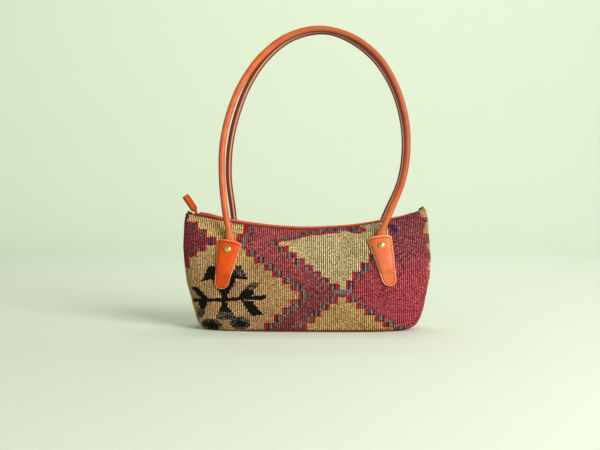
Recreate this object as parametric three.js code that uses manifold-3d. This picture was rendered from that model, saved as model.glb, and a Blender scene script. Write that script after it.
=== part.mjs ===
// Kilim baguette bag: a boat-shaped handbag of flat-woven wool on a leather base, closed by a zip
// between two leather pipings, with two rolled leather handles on riveted leather tabs.
// Millimetres, +Z up. The bag stands on z = 0, its length runs along X and its front faces -Y.

import * as THREE from "three";
import { mergeVertices } from "three/addons/utils/BufferGeometryUtils.js";
import Module from "manifold-3d";

const wasm = await Module();
wasm.setup();

// Clearance between pieces that lie against each other
const FIT = 0.3;

// Woven walls: outline from the side, from the end and from above
const RIM_HALF_LENGTH = 160;
const RIM_MID_HEIGHT = 128.5;
const RIM_RISE = 23;
const RIM_HALF_DEPTH = 13;
const BASE_HALF_LENGTH = 124;
const BASE_HALF_DEPTH = 40;
const BELLY = 6;
const CORNER_HEIGHT = 100;
const CORNER_POWER = 2.3;
const SHOULDER_POWER = 6;
const BELLY_POWER = 0.8;
const BASE_SQUARENESS = 3.6;
const RIM_SQUARENESS = 3.2;
const WALL = 2.6;
const RIB_COUNT = 84;
const RIB_RELIEF = 0.5;

// Base and lining
const BASE_THICKNESS = 2.4;
const BASE_SETBACK = 0.8;
const LINING_THICKNESS = 0.9;
const LINING_CLEARANCE = 1.2;

// Piping and zip
const PIPING_DIAMETER = 4.6;
const PIPING_END_MARGIN = 17;
const ZIP_DROP = 4.5;
const TAPE_THICKNESS = 0.8;
const TAPE_END_MARGIN = 8.5;
const CHAIN_WIDTH = 4.6;
const CHAIN_THICKNESS = 2;
const CHAIN_END_MARGIN = 7.8;
const TOOTH_PITCH = 7;
const TOOTH_REACH = 0.8;
const STOP_LENGTH = 2.4;
const SLIDER_LENGTH = 11;
const SLIDER_WIDTH = 8;
const SLIDER_WALL = 1.3;
const SLIDER_END_GAP = 1.5;
const BRIDGE_LENGTH = 9.4;
const BRIDGE_BAR = 1.6;
const BRIDGE_CLEARANCE = 2.2;
const PULL_LENGTH = 21.5;
const PULL_WIDTH = 9;
const PULL_THICKNESS = 2.6;
const PULL_NECK_WIDTH = 3.4;
const PULL_NECK_LENGTH = 6;
const PULL_LOOP_WALL = 1.2;
const PULL_LEAN = THREE.MathUtils.degToRad(48.7);

// Tabs, rivets and handles
const TAB_X = 94;
const TAB_TOP_HEIGHT = 115.5;
const TAB_LENGTH = 58;
const TAB_TOP_WIDTH = 30;
const TAB_END_RADIUS = 9.5;
const TAB_THICKNESS = 2.2;
const TAB_SPLAY = THREE.MathUtils.degToRad(10.5);
const TAB_CROWN_POWER = 4;
const RIVET_DROP = 9.3;
const RIVET_HEAD_DIAMETER = 8.8;
const RIVET_HEAD_HEIGHT = 2.8;
const RIVET_HEAD_EDGE = 0.7;
const RIVET_POST_DIAMETER = 3.2;
const RIVET_BACK_DIAMETER = 8;
const RIVET_BACK_THICKNESS = 1.5;
const RIVET_BACK_CLEARANCE = 1.2;
const HANDLE_DIAMETER = 10.2;
const HANDLE_FOLD_HALF_SPAN = 97;
const HANDLE_FOLD_HEIGHT = 128;
const HANDLE_HALF_WIDTH = 117;
const HANDLE_WIDEST_HEIGHT = 229;
const HANDLE_TOP_HEIGHT = 392;
const FRONT_HANDLE_SWAY = 18;
const BACK_HANDLE_SWAY = 22;
const HANDLE_POWER = 1.9;
const HANDLE_TONGUE_LENGTH = 32;
const HANDLE_TONGUE_HALF_WIDTH = 6.2;
const HANDLE_TONGUE_HALF_THICKNESS = 1.3;
const HANDLE_MOUTH_HALF_THICKNESS = 2.6;
const HANDLE_FLATTENING = 4;

// Fineness of the meshes
const WALL_ROW_SHARES = [0, 0.035, 0.12, 0.25, 0.45, 0.68, 0.82, 0.92, 1];
const COLUMNS_PER_RIB = 2;
const RIBS_PER_INNER_COLUMN = 3;
const SECTION_STEPS = 60;
const SECTION_ARC_STEPS = 240;
const BELOW_RIM_SHARE = 0.98;
const GRADIENT_STEP = 0.05;
const WELD = 1e-4;
const LINING_ROWS = 7;
const BASE_OUTLINE_POINTS = 48;
const PIPING_STEPS = 28;
const PIPING_SIDES = 8;
const TAPE_COLUMNS = 28;
const TAB_COLUMNS = 6;
const TAB_STRAIGHT_ROWS = 6;
const TAB_ROUND_ROWS = 4;
const HANDLE_STEPS = 40;
const HANDLE_SIDES = 10;
const LEG_POINTS = 4;
const ARCH_POINTS = 12;
const RIVET_SIDES = 10;
const DOME_RINGS = 4;

// Sizes that follow from the ones above
const LOWER_EDGE = BASE_THICKNESS + FIT;
const RIM_END_HEIGHT = RIM_MID_HEIGHT + RIM_RISE;
const RIM_ARC_RADIUS = (RIM_HALF_LENGTH ** 2 + RIM_RISE ** 2) / (2 * RIM_RISE);
const RIM_ARC_CENTRE = RIM_MID_HEIGHT + RIM_ARC_RADIUS;
const ZIP_RADIUS = RIM_ARC_RADIUS + ZIP_DROP;
const PIPING_RADIUS = PIPING_DIAMETER / 2;
const CHAIN_HALF_WIDTH = CHAIN_WIDTH / 2;
const CHAIN_HALF_LENGTH = ZIP_RADIUS * Math.asin(RIM_HALF_LENGTH / ZIP_RADIUS) - CHAIN_END_MARGIN;
const SLIDER_REST = SLIDER_LENGTH / 2 + SLIDER_END_GAP - CHAIN_HALF_LENGTH;
const HANDLE_RADIUS = HANDLE_DIAMETER / 2;
const RIVET_POST_RADIUS = RIVET_POST_DIAMETER / 2;
const LINING_DEPTH = WALL + LINING_CLEARANCE;
const WALL_STACK = LINING_DEPTH + LINING_THICKNESS;
const RIVET_BACK_NEAR = -WALL_STACK - RIVET_BACK_CLEARANCE;
const RIVET_BACK_FAR = RIVET_BACK_NEAR - RIVET_BACK_THICKNESS;

// Colour, roughness and metalness of each finish
const FINISHES = {
  kilim: { color: 0x97464a, roughness: 0.95, metalness: 0 },
  leather: { color: 0xd65f28, roughness: 0.5, metalness: 0 },
  lining: { color: 0x6b5138, roughness: 0.95, metalness: 0 },
  zipTape: { color: 0x2b2630, roughness: 0.9, metalness: 0 },
  teeth: { color: 0x3a3038, roughness: 0.5, metalness: 0 },
  brass: { color: 0xc8aa5a, roughness: 0.3, metalness: 1 },
};

// Meshes and solids

function geometryOf(points, triangles) {
  const geometry = new THREE.BufferGeometry().setFromPoints(points);
  geometry.setIndex(triangles);
  const merged = mergeVertices(geometry, WELD);
  const index = merged.index.array;
  const kept = [];
  for (let i = 0; i < index.length; i += 3) {
    const [a, b, c] = [index[i], index[i + 1], index[i + 2]];
    if (a !== b && b !== c && c !== a) {
      kept.push(a, b, c);
    }
  }
  merged.setIndex(kept);
  return merged;
}

function solidOf(geometry) {
  const bare = geometry.clone();
  bare.deleteAttribute("normal");
  bare.deleteAttribute("uv");
  const merged = mergeVertices(bare, WELD);
  return new wasm.Manifold(new wasm.Mesh({
    numProp: 3,
    vertProperties: new Float32Array(merged.attributes.position.array),
    triVerts: new Uint32Array(merged.index.array),
  }));
}

function geometryFrom(solid) {
  const mesh = solid.getMesh();
  const geometry = new THREE.BufferGeometry();
  geometry.setAttribute("position", new THREE.BufferAttribute(new Float32Array(mesh.vertProperties), 3));
  geometry.setIndex(new THREE.BufferAttribute(new Uint32Array(mesh.triVerts), 1));
  return geometry;
}

function subtract(geometry, ...tools) {
  const cut = tools.reduce((solid, tool) => solid.subtract(solidOf(tool)), solidOf(geometry));
  return geometryFrom(cut);
}

function add(geometry, ...others) {
  const joined = others.reduce((solid, other) => solid.add(solidOf(other)), solidOf(geometry));
  return geometryFrom(joined);
}

// The two triangles of a quad, split across its shorter diagonal
function splitQuad(points, a, b, c, d) {
  if (points[a].distanceTo(points[c]) <= points[b].distanceTo(points[d])) {
    return [a, b, c, a, c, d];
  }
  return [a, b, d, b, c, d];
}

// A closed sheet between an outer and an inner grid of points with the same rows. Columns run along
// +X and rows along +Z on the front. The outer grid may have a whole number of columns to each inner one.
function sheetSolid(outer, inner) {
  const rows = outer.length;
  const outerColumns = outer[0].length;
  const innerColumns = inner[0].length;
  const ratio = (outerColumns - 1) / (innerColumns - 1);
  const split = Math.floor(ratio / 2);
  const points = [...outer.flat(), ...inner.flat()];
  const outerAt = (row, column) => row * outerColumns + column;
  const innerAt = (row, column) => rows * outerColumns + row * innerColumns + column;
  const triangles = [];
  const quad = (...corners) => triangles.push(...splitQuad(points, ...corners));
  for (let row = 0; row < rows - 1; row++) {
    for (let c = 0; c < outerColumns - 1; c++) {
      quad(outerAt(row, c), outerAt(row, c + 1), outerAt(row + 1, c + 1), outerAt(row + 1, c));
    }
    for (let c = 0; c < innerColumns - 1; c++) {
      quad(innerAt(row, c), innerAt(row + 1, c), innerAt(row + 1, c + 1), innerAt(row, c + 1));
    }
    quad(outerAt(row, 0), outerAt(row + 1, 0), innerAt(row + 1, 0), innerAt(row, 0));
    const [o, n] = [outerColumns - 1, innerColumns - 1];
    quad(outerAt(row, o), innerAt(row, n), innerAt(row + 1, n), outerAt(row + 1, o));
  }
  for (const row of [0, rows - 1]) {
    const edge = (a, b, c) => (row === 0 ? triangles.push(b, a, c) : triangles.push(a, b, c));
    for (let c = 0; c < innerColumns - 1; c++) {
      const first = c * ratio;
      for (let i = 0; i < ratio; i++) {
        edge(outerAt(row, first + i), outerAt(row, first + i + 1), innerAt(row, i < split ? c : c + 1));
      }
      edge(outerAt(row, first + split), innerAt(row, c + 1), innerAt(row, c));
    }
  }
  return geometryOf(points, triangles);
}

// A closed solid through rings of points that run counter-clockwise about the way the rings go.
function loftSolid(rings) {
  const sides = rings[0].length;
  const points = rings.flat();
  const triangles = [];
  for (let r = 0; r < rings.length - 1; r++) {
    for (let k = 0; k < sides; k++) {
      const next = (k + 1) % sides;
      const [a, b] = [r * sides + k, r * sides + next];
      triangles.push(...splitQuad(points, a, b, b + sides, a + sides));
    }
  }
  const cap = (ring, first, up) => {
    const centre = points.length;
    points.push(ring.reduce((sum, p) => sum.add(p), new THREE.Vector3()).divideScalar(sides));
    for (let k = 0; k < sides; k++) {
      const [a, b] = [first + k, first + ((k + 1) % sides)];
      triangles.push(centre, up ? a : b, up ? b : a);
    }
  };
  cap(rings[0], 0, false);
  cap(rings[rings.length - 1], (rings.length - 1) * sides, true);
  return geometryOf(points, triangles);
}

function circleShape(radius, sides) {
  const points = [];
  for (let k = 0; k < sides; k++) {
    const angle = (2 * Math.PI * k) / sides;
    points.push(new THREE.Vector2(radius * Math.cos(angle), radius * Math.sin(angle)));
  }
  return new THREE.Shape(points);
}

function tubeAlong(curve, radius, steps, sides) {
  return new THREE.ExtrudeGeometry(circleShape(radius, sides), { extrudePath: curve, steps });
}

function box(x0, x1, y0, y1, z0, z1) {
  return new THREE.BoxGeometry(x1 - x0, y1 - y0, z1 - z0)
    .translate((x0 + x1) / 2, (y0 + y1) / 2, (z0 + z1) / 2);
}

// A flat profile of [a, b] corners, given in the YZ plane and drawn out along X
function profileAlongX(corners, x0, x1) {
  const shape = new THREE.Shape(corners.map(([y, z]) => new THREE.Vector2(y, z)));
  const geometry = new THREE.ExtrudeGeometry(shape, { depth: x1 - x0, bevelEnabled: false });
  return geometry.rotateX(Math.PI / 2).rotateZ(Math.PI / 2).translate(x0, 0, 0);
}

// The bag's surface. A share v of the wall's height runs from 0 at the base to 1 at the rim.

function roundUp(share, power) {
  return (1 - (1 - share) ** power) ** (1 / power);
}

// Half-length of the bag at the side seams
function seamX(v) {
  const share = THREE.MathUtils.clamp((v * RIM_END_HEIGHT) / CORNER_HEIGHT, 0, 1);
  return BASE_HALF_LENGTH + (RIM_HALF_LENGTH - BASE_HALF_LENGTH) * roundUp(share, CORNER_POWER);
}

// Half-depth of the bag at the middle of its length
function halfDepth(v) {
  const up = Math.max(v, 0);
  const lean = (BASE_HALF_DEPTH - RIM_HALF_DEPTH) * (1 - up ** SHOULDER_POWER);
  return RIM_HALF_DEPTH + lean + BELLY * Math.sin(Math.PI * up ** BELLY_POWER);
}

// How nearly the bag's outline from above is a rectangle
function squareness(v) {
  return BASE_SQUARENESS + (RIM_SQUARENESS - BASE_SQUARENESS) * v;
}

function rimHeight(x) {
  return RIM_ARC_CENTRE - Math.sqrt(RIM_ARC_RADIUS ** 2 - x ** 2);
}

function outlinePoint(angle, halfX, halfY, power) {
  const reach = (value) => Math.sign(value) * Math.abs(value) ** (2 / power);
  return new THREE.Vector2(halfX * reach(Math.sin(angle)), halfY * reach(Math.cos(angle)));
}

// The outline at v from the middle of the front to a side seam
const sections = new Map();
function section(v) {
  if (!sections.has(v)) {
    const points = [];
    for (let i = 0; i <= SECTION_STEPS; i++) {
      const angle = (Math.PI / 2) * (i / SECTION_STEPS);
      points.push(outlinePoint(angle, seamX(v), halfDepth(v), squareness(v)));
    }
    const curve = new THREE.SplineCurve(points);
    curve.arcLengthDivisions = SECTION_ARC_STEPS;
    sections.set(v, { curve, length: curve.getLength() });
  }
  return sections.get(v);
}

// The point of the front wall at a distance u along the cloth from the middle, towards +X
function wallPoint(u, v) {
  const { curve, length } = section(v);
  const at = curve.getPointAt(Math.min(Math.abs(u) / length, 1));
  const x = Math.sign(u) * at.x;
  const y = Math.min(-at.y, -FIT / 2);
  return new THREE.Vector3(x, y, LOWER_EDGE + v * (rimHeight(x) - LOWER_EDGE));
}

function wallShare(x, z) {
  return (z - LOWER_EDGE) / (rimHeight(x) - LOWER_EDGE);
}

function wallLevel(x, y, z) {
  const v = wallShare(x, z);
  const power = squareness(v);
  return (Math.abs(x) / seamX(v)) ** power + (Math.abs(y) / halfDepth(v)) ** power;
}

function wallNormal({ x, y, z }) {
  const e = GRADIENT_STEP;
  return new THREE.Vector3(
    wallLevel(x + e, y, z) - wallLevel(x - e, y, z),
    Math.abs(y) <= FIT / 2 ? 0 : wallLevel(x, y + e, z) - wallLevel(x, y - e, z),
    wallLevel(x, y, z + e) - wallLevel(x, y, z - e),
  ).normalize();
}

// The point of the front wall straight behind a point of the front view
function wallBehind(x, z) {
  const v = wallShare(x, z);
  const power = squareness(v);
  const y = -halfDepth(v) * (1 - (Math.abs(x) / seamX(v)) ** power) ** (1 / power);
  return new THREE.Vector3(x, y, z);
}

function offWall(point, distance) {
  return point.clone().addScaledVector(wallNormal(point), distance);
}

// Rivet holes: the axis of the rivet at the front right tab
const RIVET_POINT = wallBehind(...tabPlace(0, RIVET_DROP));
const RIVET_NORMAL = wallNormal(RIVET_POINT);

function alongRivet(geometry) {
  const turn = new THREE.Quaternion().setFromUnitVectors(new THREE.Vector3(0, 1, 0), RIVET_NORMAL);
  return geometry.applyQuaternion(turn).translate(RIVET_POINT.x, RIVET_POINT.y, RIVET_POINT.z);
}

function rivetHole() {
  const radius = RIVET_POST_RADIUS + FIT;
  const reach = WALL_STACK + HANDLE_DIAMETER;
  return alongRivet(new THREE.CylinderGeometry(radius, radius, 2 * reach, RIVET_SIDES));
}

function mirrored(geometry, x, y) {
  const turned = geometryFrom(solidOf(geometry));
  turned.scale(x, y, 1);
  if (x * y < 0) {
    turned.setIndex(Array.from(turned.index.array).reverse());
  }
  return turned;
}

// Columns of the cloth, straight up the wall and cut off where they meet the side seams
const CLOTH_REACH = Math.max(...WALL_ROW_SHARES.map((v) => section(v).length));
const INNER_COLUMNS = Math.round(RIB_COUNT / RIBS_PER_INNER_COLUMN);
const OUTER_COLUMNS = INNER_COLUMNS * RIBS_PER_INNER_COLUMN * COLUMNS_PER_RIB;

function clothRow(v, columns, depth) {
  const row = [];
  for (let c = 0; c <= columns; c++) {
    const u = CLOTH_REACH * ((2 * c) / columns - 1);
    const onCloth = Math.abs(u) < section(v).length;
    row.push(offWall(wallPoint(u, v), -depth(onCloth ? c : 0)));
  }
  return row;
}

// Woven wall of the front, with its vertical ribs
function wovenPanel() {
  const ribs = (c) => (c % COLUMNS_PER_RIB === 0 ? RIB_RELIEF : 0);
  const outer = WALL_ROW_SHARES.map((v) => clothRow(v, OUTER_COLUMNS, ribs));
  const inner = WALL_ROW_SHARES.map((v) => clothRow(v, INNER_COLUMNS, () => WALL));
  return subtract(sheetSolid(outer, inner), rivetHole(), mirrored(rivetHole(), -1, 1));
}

function baseRing(inset, z) {
  const ring = [];
  for (let k = 0; k < BASE_OUTLINE_POINTS; k++) {
    const angle = -(2 * Math.PI * k) / BASE_OUTLINE_POINTS;
    const at = outlinePoint(angle, BASE_HALF_LENGTH - inset, BASE_HALF_DEPTH - inset, BASE_SQUARENESS);
    ring.push(new THREE.Vector3(at.x, at.y, z));
  }
  return ring;
}

// Leather base with its edge rounded off below
function basePanel() {
  const round = BASE_THICKNESS / 2;
  return loftSolid([
    baseRing(BASE_SETBACK + round, 0),
    baseRing(BASE_SETBACK, round),
    baseRing(BASE_SETBACK, BASE_THICKNESS),
  ]);
}

// A closed ring round the front and back walls, set in by a depth
function wallRing(v, depth) {
  const front = clothRow(v, INNER_COLUMNS, () => depth);
  const last = front.length - 1;
  front[0].y = 0;
  front[last].y = 0;
  const back = front.slice(1, last).reverse().map((p) => new THREE.Vector3(p.x, -p.y, p.z));
  return [...front, ...back];
}

// Cloth lining, an open sack inside the walls
function lining() {
  const shares = WALL_ROW_SHARES.slice(1, LINING_ROWS);
  const sack = (depth, floor) => {
    const inset = depth + LINING_DEPTH;
    const [shareX, shareY] = [1 - inset / BASE_HALF_LENGTH, 1 - inset / BASE_HALF_DEPTH];
    const bottom = wallRing(0, 0).map((p) => new THREE.Vector3(shareX * p.x, shareY * p.y, floor));
    return [bottom, ...shares.map((v) => wallRing(v, depth))];
  };
  const floor = BASE_THICKNESS + FIT;
  const inside = sack(WALL_STACK, floor + LINING_THICKNESS);
  const above = inside[inside.length - 1].map((p) => new THREE.Vector3(p.x, p.y, p.z + LINING_THICKNESS));
  const holes = [];
  for (const x of [1, -1]) {
    for (const y of [1, -1]) {
      holes.push(mirrored(rivetHole(), x, y));
    }
  }
  return subtract(loftSolid(sack(LINING_DEPTH, floor)), loftSolid([...inside, above]), ...holes);
}

// Leather piping along the rim of the front wall
function rimPiping() {
  const reach = section(1).length - PIPING_END_MARGIN;
  const points = [];
  for (let i = 0; i <= PIPING_STEPS; i++) {
    const u = reach * ((2 * i) / PIPING_STEPS - 1);
    const edge = wallPoint(u, 1);
    const below = wallPoint((u * section(BELOW_RIM_SHARE).length) / section(1).length, BELOW_RIM_SHARE);
    const upward = edge.clone().sub(below).normalize();
    points.push(offWall(edge, -WALL / 2).addScaledVector(upward, PIPING_RADIUS + FIT));
  }
  return tubeAlong(new THREE.CatmullRomCurve3(points), PIPING_RADIUS, PIPING_STEPS, PIPING_SIDES);
}

// Zip. Flat pieces are drawn with X along the zip and then bent to the arc of the rim.

function zipHeight(x) {
  return RIM_ARC_CENTRE - Math.sqrt(ZIP_RADIUS ** 2 - x ** 2);
}

function bentToRim(geometry) {
  const position = geometry.attributes.position;
  for (let i = 0; i < position.count; i++) {
    const angle = position.getX(i) / ZIP_RADIUS;
    const radius = ZIP_RADIUS - position.getZ(i);
    position.setX(i, radius * Math.sin(angle));
    position.setZ(i, RIM_ARC_CENTRE - radius * Math.cos(angle));
  }
  return geometry;
}

function placeOnZip(object, along) {
  const angle = along / ZIP_RADIUS;
  object.position.set(ZIP_RADIUS * Math.sin(angle), 0, RIM_ARC_CENTRE - ZIP_RADIUS * Math.cos(angle));
  object.rotation.y = -angle;
}

// Front tape, from the inside of the wall to the teeth
function zipTape() {
  const depth = WALL + FIT + TAPE_THICKNESS;
  const lean = wallNormal(wallPoint(0, 1)).z;
  const share = 1 - (ZIP_DROP - depth * lean) / RIM_MID_HEIGHT;
  const reach = section(share).length - TAPE_END_MARGIN;
  const level = (lift) => {
    const rim = [];
    const chain = [];
    for (let c = 0; c <= TAPE_COLUMNS; c++) {
      const u = reach * ((2 * c) / TAPE_COLUMNS - 1);
      const edge = offWall(wallPoint(u, share), -depth);
      const y = -CHAIN_HALF_WIDTH - FIT;
      rim.push(new THREE.Vector3(edge.x, Math.min(edge.y, y - TAPE_THICKNESS), zipHeight(edge.x) + lift));
      chain.push(new THREE.Vector3(edge.x, y, zipHeight(edge.x) + lift));
    }
    return [rim, chain];
  };
  return sheetSolid(level(TAPE_THICKNESS / 2), level(-TAPE_THICKNESS / 2));
}

// One row of teeth: a comb whose teeth point to +Y, between the teeth of the other row
function zipTeeth(shift) {
  const root = -TOOTH_REACH - FIT;
  const width = TOOTH_PITCH / 2 - FIT;
  const count = Math.floor((2 * CHAIN_HALF_LENGTH - TOOTH_PITCH) / TOOTH_PITCH);
  const first = -(count / 2) * TOOTH_PITCH + shift;
  const columns = [[-CHAIN_HALF_LENGTH, root]];
  for (let i = 0; i < count; i++) {
    const left = first + i * TOOTH_PITCH;
    columns.push([left, root], [left, TOOTH_REACH], [left + width, TOOTH_REACH], [left + width, root]);
  }
  columns.push([CHAIN_HALF_LENGTH, root]);
  const level = (z) => [
    columns.map(([x]) => new THREE.Vector3(x, -CHAIN_HALF_WIDTH, z)),
    columns.map(([x]) => new THREE.Vector3(x, root, z)),
    columns.map(([x, tip]) => new THREE.Vector3(x, tip, z)),
  ];
  return bentToRim(sheetSolid(level(CHAIN_THICKNESS / 2), level(-CHAIN_THICKNESS / 2)));
}

function zipStop() {
  return box(-STOP_LENGTH / 2, STOP_LENGTH / 2, -CHAIN_HALF_WIDTH, CHAIN_HALF_WIDTH,
    -CHAIN_THICKNESS / 2, CHAIN_THICKNESS / 2);
}

// A wing of the slider: a plate over the teeth with a lip down each side
const WING_FLOOR = CHAIN_THICKNESS / 2 + FIT;
const WING_TOP = WING_FLOOR + SLIDER_WALL;
function sliderWing() {
  const half = SLIDER_WIDTH / 2;
  const lip = CHAIN_HALF_WIDTH + FIT;
  const low = TAPE_THICKNESS / 2 + FIT;
  const corners = [
    [-half, low], [-lip, low], [-lip, WING_FLOOR], [lip, WING_FLOOR], [lip, low], [half, low],
    [half, WING_FLOOR], [half - SLIDER_WALL, WING_TOP], [SLIDER_WALL - half, WING_TOP], [-half, WING_FLOOR],
  ];
  return profileAlongX(corners, -SLIDER_LENGTH / 2, SLIDER_LENGTH / 2);
}

// The bridge over the upper wing, whose bar the pull is looped round
const BAR_HEIGHT = WING_TOP + BRIDGE_CLEARANCE + BRIDGE_BAR / 2;
function zipSlider() {
  const half = BRIDGE_LENGTH / 2;
  const bar = BRIDGE_BAR / 2;
  const foot = WING_TOP - SLIDER_WALL / 2;
  return add(
    sliderWing(),
    box(-half, half, -bar, bar, BAR_HEIGHT - bar, BAR_HEIGHT + bar),
    box(-half, BRIDGE_BAR - half, -bar, bar, foot, BAR_HEIGHT),
    box(half - BRIDGE_BAR, half, -bar, bar, foot, BAR_HEIGHT),
  );
}

function zipSliderFoot() {
  return sliderWing().rotateX(Math.PI);
}

// Leather pull: a narrow loop round the bar and a wider strip that leans over
function zipPull() {
  const eye = (BRIDGE_BAR / 2) * Math.SQRT2 + FIT;
  const rim = eye + PULL_LOOP_WALL;
  const neck = PULL_NECK_WIDTH / 2;
  const ring = new THREE.CylinderGeometry(rim, rim, 2 * neck, 2 * RIVET_SIDES).rotateZ(Math.PI / 2);
  const hole = new THREE.CylinderGeometry(eye, eye, 2 * (neck + FIT), 2 * RIVET_SIDES).rotateZ(Math.PI / 2);
  const half = PULL_WIDTH / 2;
  const start = eye + PULL_LOOP_WALL / 2;
  const outline = new THREE.Shape([
    new THREE.Vector2(-neck, 0),
    new THREE.Vector2(neck, 0),
    new THREE.Vector2(half, PULL_NECK_LENGTH),
    new THREE.Vector2(half, PULL_LENGTH),
    new THREE.Vector2(-half, PULL_LENGTH),
    new THREE.Vector2(-half, PULL_NECK_LENGTH),
  ]);
  const strip = new THREE.ExtrudeGeometry(outline, { depth: PULL_THICKNESS, bevelEnabled: false })
    .translate(0, 0, -PULL_THICKNESS / 2)
    .rotateX(Math.PI / 2)
    .rotateY(-PULL_LEAN)
    .translate(0, 0, start);
  return subtract(add(ring, strip), hole).translate(0, 0, BAR_HEIGHT);
}

// Tabs. p runs across a tab and q down it, from the middle of its top edge.

function tabPlace(p, q) {
  return [
    TAB_X + p * Math.cos(TAB_SPLAY) + q * Math.sin(TAB_SPLAY),
    TAB_TOP_HEIGHT + p * Math.sin(TAB_SPLAY) - q * Math.cos(TAB_SPLAY),
  ];
}

function tabHalfWidth(q) {
  const straight = TAB_LENGTH - TAB_END_RADIUS;
  if (q > straight) {
    return Math.sqrt(Math.max(TAB_END_RADIUS ** 2 - (q - straight) ** 2, 0));
  }
  return TAB_TOP_WIDTH / 2 + (TAB_END_RADIUS - TAB_TOP_WIDTH / 2) * (q / straight);
}

function tongueHalfThickness(q) {
  const flat = THREE.MathUtils.smoothstep(q, 0, HANDLE_FLATTENING);
  return HANDLE_MOUTH_HALF_THICKNESS + (HANDLE_TONGUE_HALF_THICKNESS - HANDLE_MOUTH_HALF_THICKNESS) * flat;
}

// Height of a tab's underside over the wall, where it rides up over the end of the handle
function tabLift(p, q) {
  const past = HANDLE_TONGUE_LENGTH + HANDLE_FLATTENING;
  const end = 1 - THREE.MathUtils.smoothstep(q, past, past + TAB_END_RADIUS);
  const cover = 2 * (tongueHalfThickness(q) + FIT);
  const crown = 1 - (p / Math.max(tabHalfWidth(q), TAB_END_RADIUS)) ** TAB_CROWN_POWER;
  return FIT + cover * end * crown;
}

function handleTab() {
  const straight = TAB_LENGTH - TAB_END_RADIUS;
  const drops = [];
  for (let i = TAB_ROUND_ROWS; i > 0; i--) {
    drops.push(straight + TAB_END_RADIUS * Math.sin((Math.PI / 2) * (i / TAB_ROUND_ROWS)));
  }
  for (let i = TAB_STRAIGHT_ROWS; i > 1; i--) {
    drops.push(HANDLE_FLATTENING + (straight - HANDLE_FLATTENING) * ((i - 1) / (TAB_STRAIGHT_ROWS - 1)));
  }
  drops.push(HANDLE_FLATTENING, 0);
  const grid = (thickness) => drops.map((q) => {
    const row = [];
    for (let c = 0; c <= TAB_COLUMNS; c++) {
      const p = tabHalfWidth(q) * ((2 * c) / TAB_COLUMNS - 1);
      row.push(offWall(wallBehind(...tabPlace(p, q)), tabLift(p, q) + thickness));
    }
    return row;
  });
  return subtract(sheetSolid(grid(TAB_THICKNESS), grid(0)), rivetHole());
}

function rivet() {
  const seat = tabLift(0, RIVET_DROP) + TAB_THICKNESS + FIT;
  const head = RIVET_HEAD_DIAMETER / 2;
  const dome = RIVET_HEAD_HEIGHT - RIVET_HEAD_EDGE;
  const profile = [
    new THREE.Vector2(0, RIVET_BACK_FAR),
    new THREE.Vector2(RIVET_POST_RADIUS, RIVET_BACK_FAR),
    new THREE.Vector2(RIVET_POST_RADIUS, seat),
    new THREE.Vector2(head, seat),
  ];
  for (let i = 0; i <= DOME_RINGS; i++) {
    const angle = (Math.PI / 2) * (i / DOME_RINGS);
    profile.push(new THREE.Vector2(
      i === DOME_RINGS ? 0 : head * Math.cos(angle), seat + RIVET_HEAD_EDGE + dome * Math.sin(angle)));
  }
  return alongRivet(new THREE.LatheGeometry(profile, RIVET_SIDES));
}

function rivetBack() {
  const hole = RIVET_POST_RADIUS + FIT;
  const rim = RIVET_BACK_DIAMETER / 2;
  const corners = [
    [hole, RIVET_BACK_FAR], [rim, RIVET_BACK_FAR], [rim, RIVET_BACK_NEAR], [hole, RIVET_BACK_NEAR],
    [hole, RIVET_BACK_FAR],
  ];
  return alongRivet(new THREE.LatheGeometry(corners.map(([r, y]) => new THREE.Vector2(r, y)), RIVET_SIDES));
}

// Handles. The loop leans in until it rests against the loop of the back handle.

const MOUTH = offWall(wallBehind(TAB_X, TAB_TOP_HEIGHT), FIT + HANDLE_MOUTH_HALF_THICKNESS);

function handlePoint(x, share, sway) {
  const top = HANDLE_TOP_HEIGHT - HANDLE_RADIUS;
  const inward = -HANDLE_RADIUS - FIT / 2;
  return new THREE.Vector3(
    x + sway * Math.sin((Math.PI / 2) * share),
    MOUTH.y + (inward - MOUTH.y) * share,
    HANDLE_FOLD_HEIGHT + (top - HANDLE_FOLD_HEIGHT) * share,
  );
}

function handleCurve(sway) {
  const top = HANDLE_TOP_HEIGHT - HANDLE_RADIUS;
  const widest = (HANDLE_WIDEST_HEIGHT - HANDLE_FOLD_HEIGHT) / (top - HANDLE_FOLD_HEIGHT);
  const leg = (side) => {
    const points = [];
    for (let i = 0; i < LEG_POINTS; i++) {
      const share = i / LEG_POINTS;
      const spread = (HANDLE_HALF_WIDTH - HANDLE_FOLD_HALF_SPAN) * Math.sin((Math.PI / 2) * share);
      points.push(handlePoint(side * (HANDLE_FOLD_HALF_SPAN + spread), widest * share, sway));
    }
    return points;
  };
  const arch = [];
  for (let i = 0; i <= ARCH_POINTS; i++) {
    const angle = (Math.PI / 2) * ((2 * i) / ARCH_POINTS - 1);
    const at = outlinePoint(angle, HANDLE_HALF_WIDTH, 1 - widest, HANDLE_POWER);
    arch.push(handlePoint(at.x, widest + at.y, sway));
  }
  return new THREE.CatmullRomCurve3([...leg(-1), ...arch, ...leg(1).reverse()]);
}

function ringAround(centre, across, outward, halfWidth, halfThickness) {
  const ring = [];
  for (let k = 0; k < HANDLE_SIDES; k++) {
    const angle = (2 * Math.PI * k) / HANDLE_SIDES;
    ring.push(centre.clone()
      .addScaledVector(across, halfWidth * Math.cos(angle))
      .addScaledVector(outward, halfThickness * Math.sin(angle)));
  }
  return ring;
}

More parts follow.
